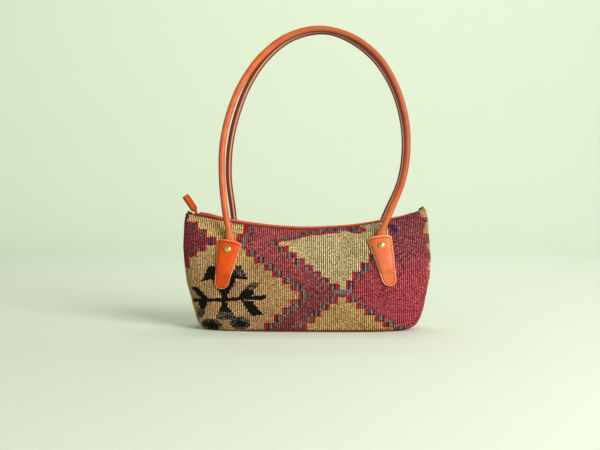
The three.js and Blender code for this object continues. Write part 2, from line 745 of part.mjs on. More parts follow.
// The fixed end of a handle: a flat tongue under the tab that rises round to the fold
function handleEnd(side, curve) {
  const rings = [];
  const middle = (HANDLE_TONGUE_LENGTH + RIVET_DROP) / 2;
  for (const q of [HANDLE_TONGUE_LENGTH, middle, RIVET_DROP, HANDLE_FLATTENING, 0]) {
    const [x, z] = tabPlace(0, q);
    const wall = wallBehind(x, z);
    const outward = wallNormal(wall);
    const thickness = tongueHalfThickness(q);
    const centre = wall.addScaledVector(outward, FIT + thickness);
    const across = new THREE.Vector3(-Math.cos(TAB_SPLAY), 0, -Math.sin(TAB_SPLAY));
    rings.push(ringAround(centre, across, outward, HANDLE_TONGUE_HALF_WIDTH, thickness));
  }
  const end = side < 0 ? 0 : 1;
  const upward = curve.getTangentAt(end).multiplyScalar(end === 0 ? 1 : -1);
  upward.x *= side;
  const fold = curve.getPointAt(end);
  fold.x *= side;
  fold.addScaledVector(upward, -FIT);
  const outward = new THREE.Vector3(0, -1, 0).addScaledVector(upward, upward.y).normalize();
  const across = outward.clone().cross(upward);
  rings.push(ringAround(fold, across, outward, HANDLE_RADIUS, HANDLE_RADIUS));
  const tongue = mirrored(loftSolid(rings), side, 1);
  return subtract(tongue, mirrored(rivetHole(), side, 1));
}

// Assembly

const bag = new THREE.Group();

function addPiece(parent, name, geometry, finish) {
  const mesh = new THREE.Mesh(geometry, new THREE.MeshStandardMaterial(FINISHES[finish]));
  mesh.name = name;
  parent.add(mesh);
  return mesh;
}

addPiece(bag, "base_panel", basePanel(), "leather");
addPiece(bag, "lining", lining(), "lining");

for (const [face, y, sway] of [["front", 1, FRONT_HANDLE_SWAY], ["back", -1, BACK_HANDLE_SWAY]]) {
  const half = new THREE.Group();
  const handle = handleCurve(sway);
  half.scale.y = y;
  bag.add(half);
  addPiece(half, `${face}_panel`, wovenPanel(), "kilim");
  addPiece(half, `${face}_rim_piping`, rimPiping(), "leather");
  addPiece(half, `${face}_zip_tape`, zipTape(), "zipTape");
  addPiece(half, `${face}_zip_teeth`, zipTeeth(y > 0 ? 0 : TOOTH_PITCH / 2), "teeth");
  addPiece(half, `${face}_handle`, tubeAlong(handle, HANDLE_RADIUS, HANDLE_STEPS, HANDLE_SIDES), "leather");
  for (const [hand, x] of [["left", -1], ["right", 1]]) {
    const corner = new THREE.Group();
    corner.scale.x = x;
    half.add(corner);
    addPiece(half, `${face}_${hand}_handle_end`, handleEnd(x, handle), "leather");
    addPiece(corner, `${face}_${hand}_tab`, handleTab(), "leather");
    addPiece(corner, `${face}_${hand}_rivet`, rivet(), "brass");
    addPiece(corner, `${face}_${hand}_rivet_back`, rivetBack(), "brass");
  }
}

const stopPlace = CHAIN_HALF_LENGTH + FIT + STOP_LENGTH / 2;
placeOnZip(addPiece(bag, "left_zip_stop", zipStop(), "brass"), -stopPlace);
placeOnZip(addPiece(bag, "right_zip_stop", zipStop(), "brass"), stopPlace);

const sliderGroup = new THREE.Group();
placeOnZip(sliderGroup, SLIDER_REST);
bag.add(sliderGroup);
addPiece(sliderGroup, "zip_slider", zipSlider(), "brass");
addPiece(sliderGroup, "zip_slider_foot", zipSliderFoot(), "brass");
addPiece(sliderGroup, "zip_pull", zipPull(), "leather");

export default bag;
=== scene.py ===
"""Looks of a boat-shaped kilim handbag with rolled leather handles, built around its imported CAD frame."""

import logging
import math
from collections.abc import Sequence
from dataclasses import dataclass, field
from enum import Enum
from typing import Any

import bmesh
import bpy
import numpy as np
from mathutils import Matrix, Vector


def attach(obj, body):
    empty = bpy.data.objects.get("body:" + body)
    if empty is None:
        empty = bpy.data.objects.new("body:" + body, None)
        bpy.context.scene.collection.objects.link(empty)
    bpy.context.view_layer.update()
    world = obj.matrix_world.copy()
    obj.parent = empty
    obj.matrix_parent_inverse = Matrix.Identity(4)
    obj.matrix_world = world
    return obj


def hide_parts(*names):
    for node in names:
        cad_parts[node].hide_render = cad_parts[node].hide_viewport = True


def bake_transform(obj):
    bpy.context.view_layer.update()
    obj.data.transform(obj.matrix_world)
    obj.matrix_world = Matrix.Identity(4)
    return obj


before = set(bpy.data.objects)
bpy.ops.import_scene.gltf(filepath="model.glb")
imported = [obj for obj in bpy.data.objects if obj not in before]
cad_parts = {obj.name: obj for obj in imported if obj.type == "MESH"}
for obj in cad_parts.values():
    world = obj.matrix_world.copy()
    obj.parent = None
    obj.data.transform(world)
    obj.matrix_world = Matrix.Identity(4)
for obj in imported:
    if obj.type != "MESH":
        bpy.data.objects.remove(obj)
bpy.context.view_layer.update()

Array = np.ndarray
Point = tuple[float, float]
Place = tuple[float, float, float]
Colour = tuple[float, float, float, float]
Series = tuple[float, ...]
Mesh = bmesh.types.BMesh
Material = bpy.types.Material
Piece = bpy.types.Object

LOG = logging.getLogger("kilim_bag")
MM = 0.001
# The gap between pieces that lie on each other, and the distance within which two points are one
FIT = 0.3 * MM
WELD = 1e-6
# How square a round section is
ROUND = 2.0


def dye(red: float, green: float, blue: float) -> Colour:
    """A colour of 0 to 255 a channel, as seen on a screen, turned into linear light.

    Args:
        red, green, blue: the channels.

    Returns:
        The linear colour with full alpha.
    """
    shares = [channel / 255 for channel in (red, green, blue)]
    lit = [s / 12.92 if s <= 0.04045 else ((s + 0.055) / 1.055) ** 2.4 for s in shares]
    return (lit[0], lit[1], lit[2], 1.0)


def smoothstep(value: Array | float, low: float, high: float) -> Array:
    """0 below low and 1 above high, with a smooth rise between them."""
    share = np.clip((np.asarray(value, float) - low) / (high - low), 0, 1)
    return share * share * (3 - 2 * share)


def between(values: Array, first: float, second: float) -> Array:
    """A mask of the values that lie between two others, whichever is larger."""
    return (values > min(first, second)) & (values < max(first, second))


# Shader nodes


class Wire:
    """A node's output that takes part in sums: each operator adds the Math node it stands for."""

    def __init__(self, board: "Board", socket: bpy.types.NodeSocket) -> None:
        """Keeps the board that the node is on and the output itself."""
        self.board = board
        self.socket = socket

    def _sum(self, operation: str, *terms: "Wire | float") -> "Wire":
        """A Math node of this operation on the terms."""
        return self.board.add("ShaderNodeMath", {"operation": operation}, dict(enumerate(terms)))

    def __add__(self, other: "Wire | float") -> "Wire":
        """The sum."""
        return self._sum("ADD", self, other)

    __radd__ = __add__

    def __sub__(self, other: "Wire | float") -> "Wire":
        """The difference."""
        return self._sum("SUBTRACT", self, other)

    def __rsub__(self, other: float) -> "Wire":
        """The difference, this one taken away."""
        return self._sum("SUBTRACT", other, self)

    def __mul__(self, other: "Wire | float") -> "Wire":
        """The product."""
        return self._sum("MULTIPLY", self, other)

    def __abs__(self) -> "Wire":
        """The value without its sign."""
        return self._sum("ABSOLUTE", self)

    def fraction(self) -> "Wire":
        """What is left after the whole number below."""
        return self._sum("FRACT", self)

    def whole(self) -> "Wire":
        """The whole number below."""
        return self._sum("FLOOR", self)

    def sine(self) -> "Wire":
        """The sine of an angle in radians."""
        return self._sum("SINE", self)

    def above(self, least: float) -> "Wire":
        """A share of 0 to 1 brought to least to 1."""
        return least + self * (1 - least)

    def rise(self, low: float, high: float) -> "Wire":
        """0 below low and 1 above high, smooth between them.

        Args:
            low, high: where the rise starts and ends.

        Returns:
            The share, from 0 to 1.
        """
        sockets = {"Value": self, "From Min": low, "From Max": high}
        return self.board.add("ShaderNodeMapRange", {"interpolation_type": "SMOOTHSTEP"}, sockets)


class Board:
    """A material's node tree, filled by Python expressions."""

    def __init__(self, name: str) -> None:
        """Starts an empty material of this name."""
        self.material = bpy.data.materials.new(name)
        self.material.use_nodes = True
        self.tree = self.material.node_tree
        self.tree.nodes.clear()

    def add(
        self,
        kind: str,
        settings: dict[str, Any] | None = None,
        sockets: dict[str | int, Any] | None = None,
        output: str | int = 0,
    ) -> Wire:
        """Adds any node.

        Args:
            kind: the node's type.
            settings: its properties, set before its sockets.
            sockets: values or wires for its inputs.
            output: the output wanted.

        Returns:
            That output as a wire.
        """
        node = self.tree.nodes.new(kind)
        for key, value in (settings or {}).items():
            setattr(node, key, value)
        for key, value in (sockets or {}).items():
            if isinstance(value, Wire):
                self.tree.links.new(value.socket, node.inputs[key])
            else:
                node.inputs[key].default_value = value
        return Wire(self, node.outputs[output])

    def mix(self, share: Wire | float, first: Wire | Colour, second: Wire | Colour, way: str = "MIX") -> Wire:
        """Mixes two colours.

        Args:
            share: how much of the second shows.
            first, second: the colours.
            way: the blend type.

        Returns:
            The mixed colour.
        """
        settings = {"data_type": "RGBA", "blend_type": way}
        return self.add("ShaderNodeMix", settings, {"Factor": share, "A": first, "B": second}, "Result")

    def place(self) -> Wire:
        """Object coordinates, in metres."""
        return self.add("ShaderNodeTexCoord", output="Object")

    def mark(self, name: str, output: str = "Fac") -> Wire:
        """A named value that the mesh carries."""
        return self.add("ShaderNodeAttribute", {"attribute_name": name}, output=output)

    def along(self, name: str) -> tuple[Wire, Wire]:
        """The two coordinates of a UV map.

        Args:
            name: the map.

        Returns:
            The coordinate across and the one along.
        """
        chart = self.add("ShaderNodeUVMap", {"uv_map": name})
        split = self.add("ShaderNodeSeparateXYZ", sockets={"Vector": chart})
        outputs = split.socket.node.outputs
        return Wire(self, outputs["X"]), Wire(self, outputs["Y"])

    def noise(self, place: Wire, scale: float, detail: float) -> Wire:
        """Cloudy noise from 0 to 1, scale blobs to a unit."""
        sockets = {"Vector": place, "Scale": scale, "Detail": detail, "Roughness": 0.55}
        return self.add("ShaderNodeTexNoise", {}, sockets)

    def patches(self, across: Wire, along: Wire, pace: Point, detail: float = 2.0) -> Wire:
        """Cloudy noise over a UV map, pace patches to a unit each way."""
        spot = self.add("ShaderNodeCombineXYZ", sockets={"X": across * pace[0], "Y": along * pace[1]})
        return self.noise(spot, 1.0, detail)

    def wave(self, along: Wire, pace: float) -> Wire:
        """A wave from 0 to 1, pace of them to a unit."""
        return (along * (2 * math.pi * pace)).sine() * 0.5 + 0.5

    def cells(self, place: Wire, scale: float) -> Wire:
        """Distance to the nearest of scattered points, scale points to a unit."""
        return self.add("ShaderNodeTexVoronoi", {}, {"Vector": place, "Scale": scale})

    def bump(self, height: Wire, depth: float, strength: float) -> Wire:
        """A normal that follows a height of 0 to 1, depth metres deep."""
        sockets = {"Height": height, "Distance": depth, "Strength": strength}
        return self.add("ShaderNodeBump", {}, sockets)

    def finish(self, **sockets: Any) -> Material:
        """Ends the material in a Principled shader.

        Args:
            sockets: values or wires for the shader's inputs, with _ for a space.

        Returns:
            The material.
        """
        named = {key.replace("_", " "): value for key, value in sockets.items()}
        shader = self.add("ShaderNodeBsdfPrincipled", {}, named)
        output = self.tree.nodes.new("ShaderNodeOutputMaterial")
        self.tree.links.new(shader.socket, output.inputs["Surface"])
        return self.material


# Finishes


@dataclass(frozen=True)
class KilimFinish:
    """Flat-woven wool: ribs of weft over vertical warps, with painted shade in the gaps between ribs, pale
    fluff and uneven dye.

    A pace is patches to a rib and to a weft. A span is the two values between which a share rises.
    """

    # The painted shade in the gaps between ribs: its colour, its strength and the part of a rib it covers
    gap_shade_tone: Colour = dye(84, 60, 56)
    gap_shade_depth: float = 0.95
    gap_span: Point = (0.2, 0.75)
    gap_least: float = 0.55
    dash_pace: Point = (3.7, 0.32)
    dash_span: Point = (0.36, 0.56)
    fleck_pace: Point = (1.9, 0.7)
    fluff_tone: Colour = (1.6, 1.7, 1.7, 1.0)
    fluff: Colour = (0.13, 0.11, 0.11, 1.0)
    fluff_span: Point = (0.46, 0.64)
    fluff_least: float = 0.08
    crest_span: Point = (0.35, 0.85)
    red_span: Point = (0.02, 0.2)
    wear_tone: Colour = dye(160, 140, 132)
    shade_pace: Point = (0.06, 0.04)
    shade_span: Point = (0.42, 0.7)
    shade_share: float = 0.28
    worn_span: Point = (0.5, 0.66)
    worn_share: float = 0.6
    roughness: float = 0.95
    gloss: float = 0.12
    relief: Place = (0.6, 0.2, 0.5)
    weft_depth: float = 0.4 * MM

    def make(self) -> Material:
        """The cloth's material, coloured by the mesh's yarn values."""
        board = Board("kilim_wool")
        across, along = board.along("cloth")
        yarn = board.mark("yarn", "Color")
        ridge = abs(across.fraction() - 0.5) * 2
        dashes = board.patches(across.whole(), along, self.dash_pace, 3.0)
        flecks = board.patches(across, along, self.fleck_pace)
        shade = board.patches(across, along, self.shade_pace).rise(*self.shade_span)
        # Painted shade in the gaps between ribs, broken into dashes
        gap = ridge.rise(*self.gap_span) * dashes.rise(*self.dash_span).above(self.gap_least)
        redness = board.add("ShaderNodeSeparateColor", {}, {"Color": yarn}, "Red")
        pale = (1 - ridge.rise(*self.crest_span)) * flecks.rise(*self.fluff_span)
        pale = pale * redness.rise(*self.red_span).above(self.fluff_least)
        speck = board.mix(1.0, board.mix(1.0, yarn, self.fluff_tone, "MULTIPLY"), self.fluff, "ADD")
        worn = (1 - flecks).rise(*self.worn_span)
        colour = board.mix(pale, yarn, speck)
        colour = board.mix(shade * self.shade_share, colour, self.wear_tone, "MULTIPLY")
        colour = board.mix(worn * self.worn_share, colour, self.wear_tone, "MULTIPLY")
        colour = board.mix(gap * self.gap_shade_depth, colour, self.gap_shade_tone, "MULTIPLY")
        rib_part, weft_part, fleck_part = self.relief
        height = (1 - ridge) * rib_part + board.wave(along, 1.0) * weft_part + flecks * fleck_part
        return board.finish(
            Base_Color=colour,
            Roughness=self.roughness - flecks * 0.1,
            Specular_IOR_Level=self.gloss,
            Normal=board.bump(height, self.weft_depth, 0.9),
        )


@dataclass(frozen=True)
class LeatherFinish:
    """Smooth hide with pores, cloudy dye, paler raw edges and painted shade where the mesh marks it."""

    name: str
    tone: Colour
    deep: Colour
    raw: Colour = dye(222, 150, 104)
    raw_least: float = 0.6
    # The colour of painted shade, laid where the mesh marks it: in folds, on undersides and on sides turned
    # from the light
    crease: Colour = dye(70, 26, 18)
    crease_least: float = 0.75
    roughness: float = 0.4
    gloss: float = 0.36
    cloud_scale: float = 55.0
    cloud_span: Point = (0.34, 0.68)
    cloud_share: float = 0.7
    mottle_scale: float = 495.0
    pore_scale: float = 1500.0
    pore_span: Point = (0.0, 0.55)
    pore_depth: float = 0.16 * MM

    def make(self) -> Material:
        """The hide's material, which reads the mesh's raw and painted shade values where it has them."""
        board = Board(self.name)
        place = board.place()
        cloud = board.noise(place, self.cloud_scale, 4.0)
        mottle = board.noise(place, self.mottle_scale, 3.0)
        pores = board.cells(place, self.pore_scale).rise(*self.pore_span)
        raw = board.mark("raw")
        crease = board.mark("crease")
        dyed = cloud.rise(*self.cloud_span) * self.cloud_share + mottle * (1 - self.cloud_share)
        colour = board.mix(dyed, self.deep, self.tone)
        # Painted shade, a little uneven with the cloud
        colour = board.mix(crease * cloud.above(self.crease_least), colour, self.crease)
        colour = board.mix(raw * mottle.above(self.raw_least), colour, self.raw)
        return board.finish(
            Base_Color=colour,
            Roughness=self.roughness + mottle * 0.16 + raw * 0.2 + crease * 0.25,
            Specular_IOR_Level=self.gloss,
            Normal=board.bump(pores * 0.6 + mottle * 0.55, self.pore_depth, 0.7),
        )


@dataclass(frozen=True)
class TwillFinish:
    """Plain woven cotton or tape, read from the piece's own map in millimetres."""

    name: str
    tone: Colour
    deep: Colour
    pitch: float = 1.1
    slant_share: float = 0.7
    weave_share: float = 0.6
    cloud_scale: float = 90.0
    roughness: float = 0.82
    sheen: float = 0.1
    depth: float = 0.12 * MM

    def make(self) -> Material:
        """The cloth's material, with slanting twill lines."""
        board = Board(self.name)
        across, along = board.along("cloth")
        cloud = board.noise(board.place(), self.cloud_scale, 3.0)
        slant = board.wave(across + along, 1 / self.pitch)
        thread = board.wave(across - along, 2 / self.pitch)
        weave = slant * self.slant_share + thread * (1 - self.slant_share)
        colour = board.mix(weave * self.weave_share + cloud * (1 - self.weave_share), self.deep, self.tone)
        return board.finish(
            Base_Color=colour,
            Roughness=self.roughness + cloud * 0.12,
            Sheen_Weight=self.sheen,
            Normal=board.bump(weave, self.depth, 0.8),
        )


@dataclass(frozen=True)
class BrassFinish:
    """Polished brass, a little dulled and finely scratched."""

    tone: Colour = dye(242, 216, 132)
    dull: Colour = dye(180, 148, 70)
    tarnish_and_shade_span: Point = (0.4, 0.72)
    tarnish_and_shade_share: float = 0.55
    roughness: float = 0.2
    tarnish_scale: float = 420.0
    scratch_scale: Place = (900.0, 120.0, 5200.0)
    scratch_span: Point = (0.55, 0.8)
    scratch_depth: float = 0.03 * MM

    def make(self) -> Material:
        """The metal's material."""
        board = Board("polished_brass")
        place = board.place()
        tarnish = board.noise(place, self.tarnish_scale, 4.0)
        stretched = board.add("ShaderNodeMapping", {}, {"Vector": place, "Scale": self.scratch_scale})
        scratch = board.noise(stretched, 1.0, 2.0)
        colour = board.mix(tarnish.rise(*self.tarnish_and_shade_span) * self.tarnish_and_shade_share, self.tone, self.dull)
        rough = self.roughness + tarnish * 0.14 + scratch.rise(*self.scratch_span) * 0.12
        normal = board.bump(scratch, self.scratch_depth, 0.4)
        return board.finish(Base_Color=colour, Roughness=rough, Metallic=1.0, Normal=normal)


@dataclass(frozen=True)
class PlainFinish:
    """A dull moulded or spun material with fine mottling: zip teeth and thread."""

    name: str
    tone: Colour
    deep: Colour
    roughness: float
    scale: float
    mottle_span: Point = (0.3, 0.7)
    depth: float = 0.05 * MM

    def make(self) -> Material:
        """The material."""
        board = Board(self.name)
        mottle = board.noise(board.place(), self.scale, 3.0)
        colour = board.mix(mottle.rise(*self.mottle_span), self.deep, self.tone)
        normal = board.bump(mottle, self.depth, 0.5)
        return board.finish(Base_Color=colour, Roughness=self.roughness + mottle * 0.1, Normal=normal)


@dataclass(frozen=True)
class PaperFinish:
    """Pale studio paper, a little greyer at the front and at the far left: painted shade that takes fill
    light from those sides.
    """

    tone: Colour
    shade: Colour
    front_span: Point = (-1.5, -0.6)
    left_span: Point = (-2.2, -1.4)
    mottle_scale: float = 3.0
    mottle_least: float = 0.97
    roughness: float = 0.9

    def make(self) -> Material:
        """The paper's material."""
        board = Board("studio_paper")
        place = board.place()
        mottle = board.noise(place, self.mottle_scale, 3.0)
        across, depth = (board.add("ShaderNodeSeparateXYZ", {}, {"Vector": place}, axis) for axis in "XY")
        # Painted shade: greyer towards the front and the far left
        share = depth.rise(*self.front_span) * across.rise(*self.left_span) * mottle.above(self.mottle_least)
        colour = board.mix(share, self.shade, self.tone)
        return board.finish(Base_Color=colour, Roughness=self.roughness + mottle * 0.05)


# Meshes


def mapped_grid(
    points: Array,
    chart: tuple[str, Array] | None = None,
    marks: dict[str, Array] | None = None,
) -> Mesh:
    """A grid whose vertices are moved to the given places and welded where they meet.

    Args:
        points: places in metres, rows by columns by 3.
        chart: a UV map's name and its coordinates, rows by columns by 2.
        marks: named values, rows by columns each, that the material reads.

    Returns:
        The mesh under edit.
    """
    rows, columns = points.shape[:2]
    mesh = bmesh.new()
    bmesh.ops.create_grid(mesh, x_segments=columns - 1, y_segments=rows - 1, size=0.5)
    layer = mesh.loops.layers.uv.new(chart[0]) if chart else None
    mark_layers = {name: mesh.verts.layers.float.new(name) for name in marks or {}}
    mesh.verts.index_update()
    spots = []
    for vertex in mesh.verts:
        spot = (round((vertex.co.y + 0.5) * (rows - 1)), round((vertex.co.x + 0.5) * (columns - 1)))
        spots.append(spot)
        vertex.co = points[spot]
        for name, mark_layer in mark_layers.items():
            vertex[mark_layer] = float(marks[name][spot])
    if chart:
        for face in mesh.faces:
            for loop in face.loops:
                loop[layer].uv = chart[1][spots[loop.vert.index]]
    bmesh.ops.remove_doubles(mesh, verts=mesh.verts, dist=WELD)
    bmesh.ops.dissolve_degenerate(mesh, dist=WELD, edges=mesh.edges)
    return mesh


def revolve(outline: Sequence[Point], steps: int) -> Mesh:
    """Spins an outline all the way round the Z axis.

    Args:
        outline: points in order, each a distance from the axis and a height.
        steps: how many faces go round.

    Returns:
        The mesh under edit.
    """
    mesh = bmesh.new()
    places = [mesh.verts.new((reach, 0, height)) for reach, height in outline]
    for start, end in zip(places, places[1:]):
        mesh.edges.new((start, end))
    bmesh.ops.spin(
        mesh, geom=[*mesh.verts, *mesh.edges], cent=(0, 0, 0), axis=(0, 0, 1),
        angle=2 * math.pi, steps=steps, use_merge=True,
    )
    bmesh.ops.remove_doubles(mesh, verts=mesh.verts, dist=WELD)
    return mesh


def close_ends(mesh: Mesh, below: float = math.inf) -> None:
    """Fills a tube's open ends, or only those below a height, and turns its faces outwards."""
    rim = [edge for edge in mesh.edges if edge.is_boundary and edge.verts[0].co.z < below]
    bmesh.ops.holes_fill(mesh, edges=rim, sides=0)
    bmesh.ops.recalc_face_normals(mesh, faces=mesh.faces)


def face_towards(mesh: Mesh, direction: Place) -> None:
    """Turns a sheet over where most of it looks away from a direction."""
    look = Vector(direction)
    if sum(face.normal.dot(look) * face.calc_area() for face in mesh.faces) < 0:
        bmesh.ops.reverse_faces(mesh, faces=mesh.faces)


def bevel_edges(mesh: Mesh, edges: list[bmesh.types.BMEdge], width: float, segments: int) -> None:
    """Rounds the given edges of a mesh under edit."""
    bmesh.ops.bevel(
        mesh, geom=edges, offset=width, affect="EDGES", segments=segments, profile=0.5, material=-1
    )


def make_object(mesh: Mesh, name: str, material: Material, flat: bool = False) -> Piece:
    """Turns a mesh under edit into an object of the scene.

    Args:
        mesh: the mesh, which is freed.
        name: the object's name.
        material: its finish.
        flat: leaves its faces unsmoothed.

    Returns:
        The object, at the origin.
    """
    data = bpy.data.meshes.new(name)
    mesh.to_mesh(data)
    mesh.free()
    data.polygons.foreach_set("use_smooth", [not flat] * len(data.polygons))
    data.materials.append(material)
    made = bpy.data.objects.new(name, data)
    bpy.context.scene.collection.objects.link(made)
    return made


def make_piece(mesh: Mesh, name: str, material: Material, flat: bool = False) -> Piece:
    """Turns a mesh under edit into a piece of the bag.

    Args:
        mesh, name, material, flat: as for make_object.

    Returns:
        The piece, at the origin.
    """
    piece = make_object(mesh, name, material, flat)
    LOG.info("%s: %d faces", name, len(piece.data.polygons))
    return piece


def thicken(piece: Piece, thickness: float, offset: float = -1.0) -> None:
    """Gives a sheet its thickness, inwards from its faces unless offset says otherwise."""
    wall = piece.modifiers.new("thickness", "SOLIDIFY")
    wall.thickness = thickness
    wall.offset = offset
    wall.use_even_offset = False


def round_edges(piece: Piece, width: float, segments: int = 2, sharp: float = math.radians(40)) -> None:
    """Rounds a piece's edges that are sharper than an angle."""
    bevel = piece.modifiers.new("edge", "BEVEL")
    bevel.width = width
    bevel.segments = segments
    bevel.limit_method = "ANGLE"
    bevel.angle_limit = sharp


def read_values(items: Any, name: str, width: int = 1, kind: type = np.int32) -> Array:
    """One named value of all of a mesh's items, width numbers each."""
    values = np.zeros(len(items) * width, kind)
    items.foreach_get(name, values)
    return values


def run_along(points: Array) -> Array:
    """How far along a line each of its points lies."""
    return np.concatenate([[0], np.cumsum(np.linalg.norm(np.diff(points, axis=0), axis=1))])


def smooth_path(knots: Array, steps: int) -> Array:
    """A smooth run through knots of any number of values each.

    Args:
        knots: one row a knot.
        steps: points on each stretch between two knots.

    Returns:
        The points, first knot to last.
    """
    padded = np.vstack([2 * knots[0] - knots[1], knots, 2 * knots[-1] - knots[-2]])
    share = np.linspace(0, 1, steps, endpoint=False)[:, None]
    runs = []
    for before, start, end, after in zip(padded, padded[1:], padded[2:], padded[3:]):
        bend = 2 * before - 5 * start + 4 * end - after
        twist = 3 * (start - end) + after - before
        runs.append(start + 0.5 * share * (end - before + share * (bend + share * twist)))
    return np.vstack([*runs, knots[-1:]])


def unit(vectors: Array) -> Array:
    """Vectors brought to a length of one."""
    return vectors / np.maximum(np.linalg.norm(vectors, axis=-1, keepdims=True), 1e-12)


def tube(
    centres: Array, outward: Array, widths: Array, depths: Array, powers: Array, turns: Array
) -> Array:
    """Rings of points along a line, each a rounded flat or round section.

    Args:
        centres: the line's points.
        outward: the direction of a section's depth at each.
        widths, depths: half sizes of each section.
        powers: how square each section is, from ROUND up.
        turns: the angles of a ring's points, from the section's side towards outward.

    Returns:
        Places, one row a ring.
    """
    tangents = unit(np.gradient(centres, axis=0))
    out = unit(outward - tangents * np.sum(outward * tangents, axis=1, keepdims=True))
    side = np.cross(tangents, out)
    power = 2 / powers[:, None]
    across = np.sign(np.cos(turns)) * np.abs(np.cos(turns)) ** power * widths[:, None]
    deep = np.sign(np.sin(turns)) * np.abs(np.sin(turns)) ** power * depths[:, None]
    return centres[:, None] + side[:, None] * across[..., None] + out[:, None] * deep[..., None]


def add_stitch(mesh: Mesh, place: Vector, along: Vector, up: Vector, size: Vector) -> None:
    """Adds one stitch of thread, a small rounded bead lying on a surface.

    Args:
        mesh: the mesh under edit.
        place: the middle of the stitch.
        along, up: the seam's direction and the surface's normal.
        size: half its length, width and height.
    """
    side = up.cross(along).normalized()
    turn = Matrix((along.normalized(), side, up.normalized())).transposed().to_4x4()
    matrix = Matrix.Translation(place) @ turn @ Matrix.Diagonal((*size, 1.0))
    bmesh.ops.create_icosphere(mesh, subdivisions=1, radius=1.0, matrix=matrix)


# The cloth's pattern, in millimetres of cloth from the middle of a wall and of height


class Yarn(Enum):
    """Dyed wools of the cloth, with two dark tones that are painted shade."""

    MAROON = dye(170, 70, 72)
    WINE = dye(134, 58, 60)
    PLUM = dye(136, 56, 66)
    CRIMSON = dye(172, 57, 68)
    # Painted shade down the left side seam, where the wall turns away from the light
    SEAM_SHADE = dye(122, 20, 34)
    GARNET = dye(136, 38, 50)
    RED = dye(172, 18, 32)
    FLAME = dye(230, 92, 50)
    GOLD = dye(214, 178, 112)
    BRONZE = dye(190, 148, 96)
    STRAW = dye(198, 176, 126)
    OCHRE = dye(192, 154, 92)
    GREY = dye(112, 118, 122)
    SLATE = dye(102, 99, 104)
    NAVY = dye(68, 72, 104)
    BLACK = dye(20, 18, 16)
    # Painted shade, in the slits beside cells and in the top left corner
    SMOKE = dye(48, 41, 34)
    SOOT = dye(104, 90, 74)


@dataclass(frozen=True)
class Stair:
    """A stepped border between a field and the ground, with a red and a grey cell in each row."""

    start: Point
    step: Point
    rows: int
    side: int

    def corners(self) -> list[Point]:
        """The field's stepped edge, first row to last."""
        edge = []
        for row in range(self.rows):
            for level in (row, row + 1):
                edge.append((self.start[0] + row * self.step[0], self.start[1] + level * self.step[1]))
        return edge


